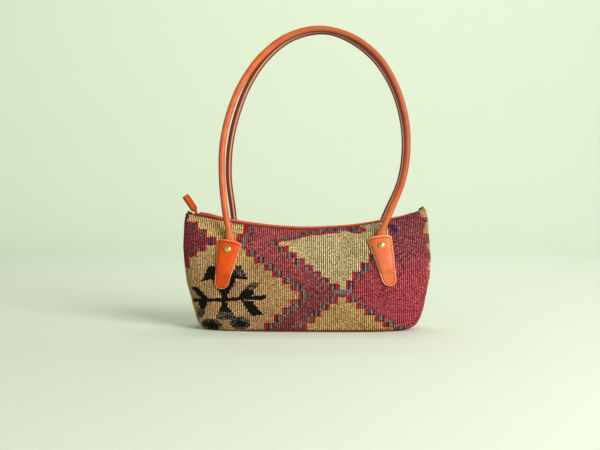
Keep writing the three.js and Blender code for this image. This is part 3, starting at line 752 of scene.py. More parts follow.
@dataclass
class Loom:
    """Lays yarns on the cells of a wall, later ones over earlier ones."""

    across: Array
    height: Array
    inset: Array
    fine: Array
    slit_half: float = 0.7
    level_run: float = 2.5
    link_share: float = 0.7
    waver: tuple[Point, ...] = ((5, 1.7), (3, 0.31))
    scatter_row: float = 1.4
    scatter: Place = (12.9898, 78.233, 43758.5)
    colours: Array = field(init=False)

    def __post_init__(self) -> None:
        """Starts with the ground's yarn all over."""
        self.colours = np.tile(np.array(Yarn.MAROON.value), (len(self.across), 1))

    def lay(self, yarn: Yarn, cells: Array) -> None:
        """Lays a yarn on the cells that a mask picks."""
        self.colours[cells] = yarn.value

    def where(self, yarn: Yarn) -> Array:
        """A mask of the cells that a yarn lies on."""
        return np.all(self.colours == yarn.value, axis=1)

    def block(self, yarn: Yarn, left: float, right: float, low: float, high: float) -> None:
        """Lays a yarn on an upright rectangle, its sides and levels in either order."""
        self.lay(yarn, between(self.across, left, right) & between(self.height, low, high))

    def patch(self, yarn: Yarn, outline: Sequence[Point]) -> None:
        """Lays a yarn inside an outline.

        Args:
            yarn: the yarn.
            outline: the corners in order.
        """
        inside = np.zeros(len(self.across), bool)
        for (u0, z0), (u1, z1) in zip(outline, [*outline[1:], outline[0]]):
            if z0 == z1:
                continue
            crossing = u0 + (self.height - z0) * (u1 - u0) / (z1 - z0)
            inside ^= ((self.height < z0) != (self.height < z1)) & (self.across < crossing)
        self.lay(yarn, inside)

    def seam_strip(self, yarn: Yarn, hand: int, edge: Sequence[Point]) -> None:
        """Lays a yarn between a side seam and an inner edge.

        Args:
            yarn: the yarn.
            hand: -1 for the left seam and 1 for the right one.
            edge: heights from low to high, each with the strip's width as seen from the front.
        """
        heights, widths = zip(*edge)
        wide = np.interp(self.height, heights, widths)
        level = between(self.height, heights[0], heights[-1])
        self.lay(yarn, level & (self.inset < wide) & (self.across * hand > 0))

    def fade(self, first: Yarn, second: Yarn, cells: Array, low: float, high: float) -> None:
        """Lays two yarns that run into each other, rib by rib.

        Args:
            first, second: the yarns below and above.
            cells: where they lie.
            low, high: the heights between which the first gives way.
        """
        uneven = sum(height * np.sin(self.across * pace) for height, pace in self.waver)
        share = smoothstep(self.height + uneven, low, high)[:, None]
        mixed = np.array(first.value) * (1 - share) + np.array(second.value) * share
        self.colours[cells] = mixed[cells]

    def band(self, yarn: Yarn, line: Sequence[Point], thickness: float) -> None:
        """Lays a yarn along a line.

        Args:
            yarn: the yarn.
            line: the line's points.
            thickness: the band's whole width.
        """
        near = np.full(len(self.across), np.inf)
        for (u0, z0), (u1, z1) in zip(line, line[1:]):
            run, rise = u1 - u0, z1 - z0
            share = ((self.across - u0) * run + (self.height - z0) * rise) / (run * run + rise * rise)
            share = np.clip(share, 0, 1)
            near = np.minimum(near, np.hypot(self.across - u0 - share * run, self.height - z0 - share * rise))
        self.lay(yarn, near < thickness / 2)

    def fleck(self, cells: Array, share: float, tone: float) -> None:
        """Makes scattered cells darker or paler.

        Args:
            cells: where they are scattered.
            share: how many of the cells change.
            tone: what their colour is multiplied by.
        """
        rib_turn, row_turn, spread = self.scatter
        angle = np.round(self.across) * rib_turn + np.floor(self.height / self.scatter_row) * row_turn + tone
        self.colours[cells & (np.mod(np.sin(angle) * spread, 1) < share), :3] *= tone

    def oval(self, yarn: Yarn, middle: Point, half_width: float, half_height: float) -> None:
        """Lays a yarn on an oval."""
        across = (self.across - middle[0]) / half_width
        self.lay(yarn, across**2 + ((self.height - middle[1]) / half_height) ** 2 < 1)

    def border(self, stair: Stair) -> None:
        """Lays a stair's red and grey cells row by row, the red running on along the step's level edge.

        Args:
            stair: the stepped border.
        """
        cell = stair.side * abs(stair.step[0]) / 2
        growing = stair.side * stair.step[0] > 0
        down = math.copysign(self.level_run, stair.step[1])
        thin = down * self.link_share
        for row in range(stair.rows):
            edge = stair.start[0] + row * stair.step[0]
            first, last = (stair.start[1] + (row + turn) * stair.step[1] for turn in (0, 1))
            near, far = edge + cell, edge + 2 * cell
            self.block(Yarn.RED, edge, near, first, last)
            self.block(Yarn.GREY, near, far, first, last)
            if growing:
                self.block(Yarn.RED, near, far, last - down, last)
                self.block(Yarn.GREY, far, far + cell, last - thin, last)
            else:
                self.block(Yarn.RED, near, far, first, first + down)
                self.block(Yarn.GREY, edge, near, last, last + thin)
            self.slit(near, first, last)
            self.slit(far, first, last)

    def slit(self, across: float, low: float, high: float) -> None:
        """Lays painted shade in the slit beside a cell, in the gap between two ribs."""
        near = np.abs(self.fine - across) < self.slit_half
        self.lay(Yarn.SMOKE, near & between(self.height, low, high))


@dataclass
class KilimDesign(Loom):
    """The stepped fields, borders and plant motif of the cloth."""

    top: float = 170.0
    foot: float = -10.0
    seam: float = 200.0
    edging: float = 5.5
    inner_edging: float = 13.0
    cell_width: float = 5.8
    ground_split: float = 52.0

    def plant(self, shift: float) -> None:
        """Lays the dark plant: a level stem with petals above, leaves to both sides and two buds below.

        Args:
            shift: how far the plant stands to the right of its place on the front.
        """
        black, soot = Yarn.BLACK, Yarn.SOOT
        shapes: list[tuple[Yarn, list[Point]]] = [
            (black, [(-136, 63), (-130, 69), (-126, 78), (-124, 83), (-112, 84), (-112, 68), (-126, 65)]),
            (black, [(-93, 74), (-86, 84), (-81, 84), (-78, 77), (-71, 67), (-86, 68), (-90, 62)]),
            (soot, [(-91, 74), (-85, 82), (-82, 82), (-79, 76), (-75, 70), (-87, 71)]),
            (
                black,
                [
                    (-118, 66), (-110, 53), (-106, 47), (-104.5, 41),
                    (-101, 41), (-88, 64), (-92, 75), (-113, 75),
                ],
            ),
            (black, [(-152, 54), (-149, 57), (-141, 56), (-131, 48), (-124, 42), (-134, 41), (-149, 51)]),
            (black, [(-143, 37), (-125, 38), (-129, 31), (-133, 25), (-146, 25), (-140, 30)]),
            (soot, [(-130, 30), (-132, 22), (-136, 16), (-147, 16), (-147, 24), (-141, 28)]),
            (black, [(-84, 44), (-80, 51), (-74, 57), (-64, 54), (-66, 46)]),
            (soot, [(-76, 56), (-69, 63), (-55, 64), (-60, 58), (-66, 53)]),
            (black, [(-66, 46), (-51.5, 47.5), (-51.5, 41.3), (-66, 41.5)]),
            (black, [(-81, 41), (-66, 40), (-63, 35), (-52, 22), (-67, 21), (-72, 27)]),
            (black, [(-104.5, 40), (-100.5, 40), (-98, 33), (-93, 28), (-92, 24), (-110, 24), (-107, 32)]),
            (soot, [(-110, 25), (-92, 25), (-88, 20), (-88, 15), (-113, 15), (-113, 20)]),
        ]
        for yarn, outline in shapes:
            self.patch(yarn, [(across + shift, height) for across, height in outline])
        self.oval(soot, (-121 + shift, 8), 14.5, 8)
        self.oval(soot, (-82 + shift, 11), 13, 8.5)
        self.fleck(self.where(soot), 0.55, 0.25)
        stem = [(-152, 38.5), (-104, 41), (-66, 44), (-51, 45)]
        self.band(black, [(across + shift, height) for across, height in stem], 4.6)
        self.oval(black, (-119 + shift, 7), 9, 4)
        self.oval(black, (-81 + shift, 10), 7, 3.5)

    def side_triangle(self, hand: int) -> None:
        """Lays the stepped garnet triangle that grows from a side seam into the gold.

        Args:
            hand: -1 for the left seam and 1 for the right one.
        """
        rows = [(139, 128.5, 138), (125.5, 119, 128.5), (113, 110, 119)]
        rows += [(126, 102.5, 110), (140, 95, 102.5), (152.5, 81, 95)]
        seam = hand * self.seam
        for near, low, high in rows:
            self.block(Yarn.RED, hand * near, seam, low - 1, high + 1)
        for near, low, high in rows:
            self.block(Yarn.GARNET, hand * (near + self.edging), seam, low + 1, high - 1)
            self.block(Yarn.GARNET, hand * (near + self.inner_edging), seam, low - 1, high + 1)
        for yarn, near, low, high in (
            (Yarn.NAVY, 145, 128, 136),
            (Yarn.SLATE, 132, 120, 126.5),
            (Yarn.NAVY, 119, 109.5, 118),
            (Yarn.SLATE, 134.5, 101, 106),
            (Yarn.NAVY, 146, 95, 100),
        ):
            self.block(yarn, hand * near, hand * (near + self.cell_width), low, high)
            self.slit(hand * near, low, high)

    def front(self) -> None:
        """Lays the front wall's pattern."""
        upper = Stair((-75.5, 104), (11.6, -8.5), 6, 1)
        lower = Stair((-18, 42.5), (-11, -10), 4, 1)
        field_left = [(-self.seam, self.top), (-78, self.top), (-78, 124), (-88, 124), (-88, 112), (-80, 104)]
        field_tip = [(-9, 53), (-9, 42.5)]
        field_foot = [(-66, self.foot), (-self.seam, self.foot)]
        self.patch(Yarn.GOLD, [*field_left, *upper.corners(), *field_tip, *lower.corners(), *field_foot])
        falling = Stair((-32.6, 116.5), (10.75, -7.75), 8, -1)
        rising = Stair((51, 55.5), (9.3, 11), 7, 1)
        field_top = [(107, self.top), (-32.6, self.top)]
        self.patch(Yarn.STRAW, [*falling.corners(), (46, 54), *rising.corners(), *field_top])
        left_slope = Stair((41.5, 45.5), (-9.8, -8.4), 5, -1)
        right_slope = Stair((51.5, 46), (11.9, -7.9), 6, 1)
        low_field = [*reversed(left_slope.corners()), *right_slope.corners()]
        self.patch(Yarn.OCHRE, [(2, self.foot), *low_field, (122, self.foot)])
        ground = self.where(Yarn.MAROON)
        right = self.across > self.ground_split
        self.fade(Yarn.CRIMSON, Yarn.PLUM, ground & right, 62, 112)
        self.fade(Yarn.WINE, Yarn.MAROON, ground & ~right, 45, 105)
        self.fade(Yarn.BRONZE, Yarn.GOLD, self.where(Yarn.GOLD), 70, 125)
        self.fleck(ground, 0.14, 0.5)
        self.fleck(ground, 0.1, 1.5)
        self.fleck(~ground, 0.1, 0.72)
        for stair in (upper, lower, falling, rising, left_slope, right_slope):
            self.border(stair)
        self.block(Yarn.RED, -9, -3.5, 42.5, 53)
        self.block(Yarn.FLAME, -6.3, -3.5, 43, 51)
        self.block(Yarn.GREY, -3.5, 2, 42.5, 53)
        for across in (-3.5, 2):
            self.slit(across, 42.5, 53)
        self.block(Yarn.GREY, 37, 58, 49.5, 55)
        self.field_corner()
        self.tongue()
        self.side_triangle(-1)
        self.right_edge()
        self.plant(0)
        # Painted shade in the top left corner, under the tape's end
        self.lay(Yarn.SMOKE, (self.inset < 6) & (self.across < 0) & (self.height > 152.5))
        # Painted shade down the left side seam
        self.seam_strip(Yarn.SEAM_SHADE, -1, [(84, 1.5), (92, 4), (125, 4), (135, 5.8), (152.5, 5.8)])

    def field_corner(self) -> None:
        """Lays the loose cells where the left field meets the rim and the right field's upper corner."""
        for yarn, left, right, low, high in [
            (Yarn.RED, -79, -73.3, 123, 140),
            (Yarn.SLATE, -72.5, -67.5, 121.5, 132),
            (Yarn.RED, -89, -81, 113, 124),
            (Yarn.GREY, -80, -75.5, 112, 122),
            (Yarn.GREY, -81, -76.5, 104, 113),
            (Yarn.NAVY, 104, 108.5, 132, 139),
            (Yarn.NAVY, 108.6, 113, 128, 135),
            (Yarn.NAVY, 112, 117.5, 122, 131),
        ]:
            self.block(yarn, left, right, low, high)

    def tongue(self) -> None:
        """Lays the long maroon tongue under the rim, with its slate and red outline and spindle tip."""
        edge = [(-33, 117), (-20, 119), (-9, 121.5), (6, 125), (17, 125.5), (31, 128), (43, 128.5)]
        tip = (65.0, 129.0)
        self.patch(Yarn.MAROON, [(-60, self.top), (-60, 118), *edge, (56, 130), (56, self.top)])
        self.patch(Yarn.STRAW, [(60, self.top), (60, 124), (104, 124), (104, self.top)])
        self.band(Yarn.RED, [(across, height - 2.6) for across, height in edge], 2.4)
        self.band(Yarn.SLATE, [*edge, (56, 129)], 3.2)
        self.oval(Yarn.RED, tip, 13, 5)
        self.oval(Yarn.SLATE, (tip[0] - 2, tip[1]), 9.5, 2.8)
        self.fleck(self.where(Yarn.SLATE), 0.35, 0.4)
        self.fleck(self.where(Yarn.NAVY), 0.4, 0.4)

    def right_edge(self) -> None:
        """Lays the gold patches along the right seam."""
        for edge in (
            [(145, 8), (170, 8)],
            [(124, 8), (127, 8), (139, 3)],
            [(98, 0), (107, 4.5), (111, 7)],
            [(78, 4.5), (88, 4.5)],
            [(51, 1.5), (60, 3), (66, 2)],
        ):
            self.seam_strip(Yarn.OCHRE, 1, edge)

    def back(self) -> None:
        """Lays the back wall's pattern, a stepped diamond with the plant between two side triangles."""
        self.lay(Yarn.STRAW, np.abs(self.across) > 104)
        for hand in (-1, 1):
            falling = Stair((hand * 12, 119), (hand * 11, -8.5), 7, hand)
            returning = Stair((hand * 84, 59.5), (-hand * 11, -10), 6, hand)
            outer = Stair((hand * 104, 112), (hand * 9.7, -9), 4, -hand)
            slopes = [*falling.corners(), *returning.corners()]
            self.patch(Yarn.GOLD, [(0, 127.5), (hand * 12, 127.5), *slopes, (0, self.foot)])
            for stair in (falling, returning, outer):
                self.border(stair)
            self.side_triangle(hand)
        self.plant(102)


# The bag's shape


@dataclass
class BagShell:
    """The outer surface of the woven walls: the front at -Y, the back its mirror image.

    The marks, lifts and spreads are in millimetres.
    """

    rim_half_length: float = 160 * MM
    rim_mid_height: float = 128.5 * MM
    rim_rise: float = 23 * MM
    rim_half_depth: float = 13 * MM
    base_half_length: float = 124 * MM
    base_half_depth: float = 40 * MM
    belly: float = 6 * MM
    corner_height: float = 100 * MM
    corner_power: float = 2.3
    shoulder_power: float = 6.0
    belly_power: float = 0.8
    base_squareness: float = 3.6
    rim_squareness: float = 3.2
    lower_edge: float = 2.7 * MM
    wall: float = 2.6 * MM
    arc_steps: int = 600
    slope_step: float = 0.05 * MM
    rim_marks: Series = (-160, -130, -94, 0, 60, 125, 160)
    front_lift: Series = (-2.6, 0.8, 0.6, 0, 0.8, 3.2, 4.6)
    back_lift: Series = (-1.5, 2.6, 1.8, 0.4, 0.8, 3.2, 4.6)
    right_marks: Series = (0, 8, 23, 42, 67, 92, 108, 141, 152, 175)
    right_spread: Series = (2, 4.8, 2, 0, 1.4, 1.4, 0, -2.4, -5, 0)
    left_marks: Series = (0, 7, 22, 42, 60, 79, 109, 141, 151, 175)
    left_spread: Series = (3.5, 1.5, -4, -5, -3, -2, 0, -0.8, -2.4, 0)
    lift_start: Point = (55 * MM, 130 * MM)
    lift_end: Point = (160 * MM, 300 * MM)
    end_zone: Point = (0.72, 1.0)
    dip_left: Point = (60 * MM, 100 * MM)
    dip_right: Point = (98 * MM, 122 * MM)
    dip_height: float = 14 * MM
    dip_floor: float = 0.7 * MM

    def __post_init__(self) -> None:
        """Works out the rim's arc."""
        self.rim_radius = (self.rim_half_length**2 + self.rim_rise**2) / (2 * self.rim_rise)
        self.rim_centre = self.rim_mid_height + self.rim_radius

    def seam_x(self, share: Array) -> Array:
        """Half the bag's length at a share of the wall's height."""
        end_height = self.rim_mid_height + self.rim_rise
        rise = np.clip(share * end_height / self.corner_height, 0, 1)
        bulge = (1 - (1 - rise) ** self.corner_power) ** (1 / self.corner_power)
        return self.base_half_length + (self.rim_half_length - self.base_half_length) * bulge

    def half_depth(self, share: Array) -> Array:
        """Half the bag's depth at a share of the wall's height."""
        share = np.clip(share, 0, 1)
        narrowing = 1 - share**self.shoulder_power
        bulge = self.belly * np.sin(np.pi * share**self.belly_power)
        return self.rim_half_depth + (self.base_half_depth - self.rim_half_depth) * narrowing + bulge

    def squareness(self, share: Array) -> Array:
        """How square the section is at a share of the wall's height."""
        return self.base_squareness + (self.rim_squareness - self.base_squareness) * np.clip(share, 0, 1)

    def rim_height(self, across: Array) -> Array:
        """Height of the rim's arc at a distance from the middle."""
        return self.rim_centre - np.sqrt(self.rim_radius**2 - across**2)

    def share_of(self, across: Array, height: Array) -> Array:
        """The share of the wall's height that a point lies at."""
        return (height - self.lower_edge) / (self.rim_height(across) - self.lower_edge)

    def _section(self, share: float) -> tuple[Array, Array, Array]:
        """A row's run from the middle to a side seam, with the x and the depth along it."""
        angle = np.linspace(0, math.pi / 2, self.arc_steps)
        power = 2 / self.squareness(share)
        x = self.seam_x(share) * np.sin(angle) ** power
        y = self.half_depth(share) * np.clip(np.cos(angle), 0, 1) ** power
        return np.concatenate([[0], np.cumsum(np.hypot(np.diff(x), np.diff(y)))]), x, y

    def reach(self, share: float) -> float:
        """The cloth's length from the middle to a side seam at a share of the wall's height."""
        return float(self._section(share)[0][-1])

    def row(self, cloth: Array, share: float) -> Array:
        """Points of one row of the front wall.

        Args:
            cloth: distances along the cloth from the middle.
            share: the row's share of the wall's height.

        Returns:
            The points.
        """
        run, x, y = self._section(share)
        across = np.sign(cloth) * np.interp(np.abs(cloth), run, x)
        depth = np.maximum(np.interp(np.abs(cloth), run, y), FIT / 2)
        height = self.lower_edge + share * (self.rim_height(across) - self.lower_edge)
        return np.stack([across, -depth, height], axis=-1)

    def behind(self, across: Array, height: Array) -> Array:
        """Points of the front wall behind places seen from the front.

        Args:
            across, height: the places.

        Returns:
            The points.
        """
        share = self.share_of(across, height)
        power = self.squareness(share)
        inset = np.clip(1 - (np.abs(across) / self.seam_x(share)) ** power, 0, 1)
        return np.stack([across, -self.half_depth(share) * inset ** (1 / power), height], axis=-1)

    def _level(self, points: Array) -> Array:
        """1 on the wall's surface, less inside and more outside."""
        across, depth, height = points[..., 0], points[..., 1], points[..., 2]
        share = np.maximum(self.share_of(across, height), 0)
        power = self.squareness(share)
        length = (np.abs(across) / self.seam_x(share)) ** power
        return length + (np.abs(depth) / self.half_depth(share)) ** power

    def normals(self, points: Array) -> Array:
        """Directions out of the wall.

        Args:
            points: places on the wall.

        Returns:
            One direction a place.
        """
        slopes = []
        for axis in np.eye(3) * self.slope_step:
            slopes.append(self._level(points + axis) - self._level(points - axis))
        slope = np.stack(slopes, axis=-1)
        slope[..., 1] = np.where(np.abs(points[..., 1]) <= FIT, 0, slope[..., 1])
        return unit(slope)

    def off(self, points: Array, distance: Array | float) -> Array:
        """Places a distance off the wall, inside where it is negative."""
        return points + self.normals(points) * np.asarray(distance)[..., None]

    def spread(self, hand: Array, height: Array) -> Array:
        """How far an end of the soft bag has moved outwards.

        Args:
            hand: negative at the left end, positive at the right one.
            height: the height above the floor.

        Returns:
            The distance, negative where it has moved inwards.
        """
        level = height / MM
        right = np.interp(level, self.right_marks, self.right_spread)
        left = np.interp(level, self.left_marks, self.left_spread)
        return np.where(hand > 0, right, left) * MM

    def end_x(self, hand: Array, height: Array) -> Array:
        """How far from the middle the settled bag reaches at a height."""
        share = self.share_of(self.rim_half_length, np.asarray(height))
        return self.seam_x(np.clip(share, 0, 1)) + self.spread(hand, height)

    def dip(self, across: Array) -> Array:
        """How much of the wall's lower edge has slipped down over the base, from 0 to 1."""
        left, right = smoothstep(-across, *self.dip_left), smoothstep(across, *self.dip_right)
        return np.where(across < 0, left, right)

    def settle(self, points: Array) -> Array:
        """Points of the true shape taken to where the soft bag has settled.

        Args:
            points: places on the true shape.

        Returns:
            The places in the settled bag: its right end higher, its ends uneven, its lower corners spread.
        """
        across, depth, height = points[..., 0], points[..., 1], points[..., 2]
        front = np.interp(across / MM, self.rim_marks, self.front_lift)
        back = np.interp(across / MM, self.rim_marks, self.back_lift)
        lift = np.where(depth < 0, front, back) * MM
        lift = lift * smoothstep(height, *self.lift_start) * (1 - smoothstep(height, *self.lift_end))
        low = 1 - smoothstep(height, 0, self.dip_height)
        lift = lift - self.dip(across) * low * (self.lower_edge - self.dip_floor)
        share = np.clip(self.share_of(self.rim_half_length, height), 0, 1)
        reach = smoothstep(np.abs(across) / self.seam_x(share), *self.end_zone)
        outward = np.sign(across) * self.spread(across, height) * reach
        return points + np.stack([outward, np.zeros_like(outward), lift], axis=-1)


class Side(Enum):
    """The two faces of the bag, by the sign that turns a front point into its own."""

    FRONT = 1
    BACK = -1

    @property
    def label(self) -> str:
        """The side's name in pieces and nodes."""
        return self.name.lower()

    def place(self, points: Array) -> Array:
        """Points of the front taken to this side."""
        return points * np.array([1, self.value, 1])

    def corner(self, hand: int) -> str:
        """The name of this side's right corner for 1 or its left one for -1."""
        return f"{self.label}_{'right' if hand > 0 else 'left'}"


@dataclass
class KilimWalls:
    """The two woven walls, each one sheet with a ridge for every rib of its weave."""

    shell: BagShell
    ribs: int = 142
    columns_per_rib: int = 3
    rows: int = 108
    relief: float = 0.5 * MM
    weft_pitch: float = 1.3 * MM
    thickness: float = 2.2 * MM
    cut_width: float = 372 * MM
    cut_height: float = 160 * MM
    cut_area: float = 0.054

    def build(self, side: Side, material: Material) -> None:
        """Weaves one wall.

        Args:
            side: which wall.
            material: the wool's finish.
        """
        shares = np.linspace(0, 1, self.rows + 1)
        reaches = [self.shell.reach(share) for share in shares]
        pitch = 2 * max(reaches) / self.ribs
        columns = np.arange(self.ribs * self.columns_per_rib + 1)
        cloth = (columns / self.columns_per_rib - self.ribs / 2) * pitch
        valley = np.where(columns % self.columns_per_rib == 0, -self.relief, 0.0)
        points, runs = [], []
        for share, reach in zip(shares, reaches):
            run = np.clip(cloth, -reach, reach)
            spots = self.shell.row(run, share)
            points.append(self.shell.off(spots, np.where(np.abs(cloth) < reach - pitch, valley, 0.0)))
            runs.append(run / pitch)
        placed = self.shell.settle(side.place(np.array(points)))
        chart = np.stack([np.array(runs), placed[..., 2] / self.weft_pitch], axis=-1)
        mesh = mapped_grid(placed, ("cloth", chart))
        face_towards(mesh, (0, -side.value, 0))
        piece = make_piece(mesh, f"{side.label}_woven_wall", material)
        self.dye_cells(piece.data, side, pitch)
        thicken(piece, self.thickness)
        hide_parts(f"{side.label}_panel")
        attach(piece, "bag")

    def dye_cells(self, data: bpy.types.Mesh, side: Side, pitch: float) -> None:
        """Gives each face the yarn that the design lays there.

        Args:
            data: the wall's mesh.
            side: which wall, for its design.
            pitch: the ribs' spacing.
        """
        corners = read_values(data.uv_layers["cloth"].data, "uv", 2, np.float32)
        starts, totals = (read_values(data.polygons, name) for name in ("loop_start", "loop_total"))
        middles = np.add.reduceat(corners.reshape(-1, 2), starts, axis=0) / totals[:, None]
        across = (np.floor(middles[:, 0]) + 0.5) * pitch / MM
        height = middles[:, 1] * self.weft_pitch
        seen = read_values(data.polygons, "center", 3, np.float32)[::3]
        inset = self.shell.end_x(seen, height) - np.abs(seen)
        design = KilimDesign(across, height / MM, inset / MM, middles[:, 0] * pitch / MM)
        if side is Side.FRONT:
            design.front()
        else:
            design.back()
        yarn = data.color_attributes.new("yarn", "FLOAT_COLOR", "CORNER")
        yarn.data.foreach_set("color", np.repeat(design.colours, totals, axis=0).astype(np.float32).ravel())


@dataclass
class Base:
    """The leather base that the bag stands on, with the sack of lining above it."""

    shell: BagShell
    setback: float = 0.8 * MM
    tuck: float = 2.0 * MM
    thickness: float = 2.4 * MM
    edge: float = 0.8 * MM
    edge_segments: int = 3
    sharp_angle: float = math.radians(60)
    outline_points: int = 160
    lining_depth: float = 4.3 * MM
    lining_floor: float = 5.6 * MM
    lining_top: float = 0.93
    lining_rows: int = 12
    lining_thickness: float = 0.8 * MM
    lining_round: float = 0.68
    lining_cut: Point = (0.345, 0.34)
    lining_area: float = 0.105
    floor_rings: Series = (0.02, 0.5, 0.9, 1.0)

    def ring(self, share: float, inset: float, tuck: float = 0.0) -> Array:
        """Points round the whole bag at a share of its height.

        Args:
            share: the share of the wall's height.
            inset: how far inside the wall's surface.
            tuck: how much further inside where the wall's edge has slipped down.

        Returns:
            The points, the last one where the first one is.
        """
        reach = self.shell.reach(share)
        cloth = np.linspace(-reach, reach, self.outline_points)
        front = self.shell.row(cloth, share)
        front = self.shell.off(front, -inset - tuck * self.shell.dip(front[:, 0]))
        back = Side.BACK.place(front[::-1])
        return np.vstack([front, back, front[:1]])

    def build(self, material: Material) -> None:
        """Cuts the base panel and rounds its edges.

        Args:
            material: the hide's finish.
        """
        outline = self.ring(0.0, self.setback, self.tuck)[:-1]
        mesh = bmesh.new()
        bmesh.ops.create_circle(mesh, cap_ends=True, radius=1.0, segments=len(outline))
        for vertex, place in zip(mesh.verts, outline):
            vertex.co = (place[0], place[1], 0.0)
        bmesh.ops.remove_doubles(mesh, verts=mesh.verts, dist=WELD)
        grown = bmesh.ops.extrude_face_region(mesh, geom=mesh.faces[:])
        top = [item for item in grown["geom"] if isinstance(item, bmesh.types.BMVert)]
        bmesh.ops.translate(mesh, verts=top, vec=(0, 0, self.thickness))
        bmesh.ops.recalc_face_normals(mesh, faces=mesh.faces)
        sharp = [edge for edge in mesh.edges if edge.calc_face_angle(0) > self.sharp_angle]
        bevel_edges(mesh, sharp, self.edge, self.edge_segments)
        piece = make_piece(mesh, "leather_base", material)
        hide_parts("base_panel")
        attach(piece, "bag")

    def line(self, material: Material) -> None:
        """Sews the lining's sack.

        Args:
            material: the cotton's finish.
        """
        floor_share = (self.lining_floor - self.shell.lower_edge) / self.shell.rim_mid_height
        shares = np.linspace(floor_share, self.lining_top, self.lining_rows)
        rings = [self.ring(share, self.lining_depth) for share in shares]
        rings[0][:, 2] = self.lining_floor
        flats = [rings[0] * np.array([scale, scale, 1]) for scale in self.floor_rings]
        points = self.shell.settle(np.array([*flats, *rings[1:]]))
        points[: len(flats), :, 2] = self.lining_floor
        around = np.linspace(0, self.lining_round, points.shape[1])
        run = run_along(points[:, self.outline_points // 4])
        chart = np.stack(np.meshgrid(around, run), axis=-1) / MM
        mesh = mapped_grid(points, ("cloth", chart))
        close_ends(mesh, self.lining_floor + MM)
        piece = make_piece(mesh, "cotton_lining", material)
        thicken(piece, self.lining_thickness, 1.0)
        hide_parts("lining")
        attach(piece, "bag")


@dataclass
class RimPipings:
    """Leather pipings that close the two edges of the mouth, thinner towards the right."""

    shell: BagShell
    diameter: float = 4.6 * MM
    slimming: float = 0.34
    slim_span: Point = (0.02, 0.1)
    tail_slimming: float = 0.42
    tail_span: Point = (0.1, 0.132)
    # Painted shade on the piping's underside: where it begins along the rim and how softly it fades
    crease_marks: Point = (-0.35, 0.05)
    crease_span: Point = (-0.06, 0.02)
    crease_fade: float = 0.5
    front_margin: float = 17 * MM
    back_margin: float = 22 * MM
    right_margin: float = 22 * MM
    points: int = 120
    ring_points: int = 18
    below_rim: float = 0.98

    def build(self, side: Side, material: Material) -> None:
        """Rolls one piping along its wall's edge.

        Args:
            side: which wall.
            material: the hide's finish.
        """
        reach = self.shell.reach(1.0)
        left_margin = self.front_margin if side is Side.FRONT else self.back_margin
        cloth = np.linspace(left_margin - reach, reach - self.right_margin, self.points)
        edge = self.shell.row(cloth, 1.0)
        upward = unit(edge - self.shell.row(cloth, self.below_rim))
        slack = 1 - self.slimming * smoothstep(edge[:, 0], *self.slim_span)
        slack = slack - self.tail_slimming * smoothstep(edge[:, 0], *self.tail_span)
        radius = self.diameter / 2 * slack
        centres = self.shell.off(edge, -self.shell.wall / 2) + upward * (radius + FIT)[:, None]
        turns = np.linspace(0, 2 * math.pi, self.ring_points + 1)
        rings = tube(centres, upward, radius, radius, np.full(self.points, ROUND), turns)
        # Painted shade on the lower side of the roll, where it sits on the cloth
        lowest = np.interp(edge[:, 0], self.crease_span, self.crease_marks)[:, None]
        under = smoothstep(-np.sin(turns) - lowest, 0, self.crease_fade)
        mesh = mapped_grid(self.shell.settle(side.place(rings)), marks={"crease": under})
        close_ends(mesh)
        piece = make_piece(mesh, f"{side.label}_rim_roll", material)
        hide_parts(f"{side.label}_rim_piping")
        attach(piece, "bag")


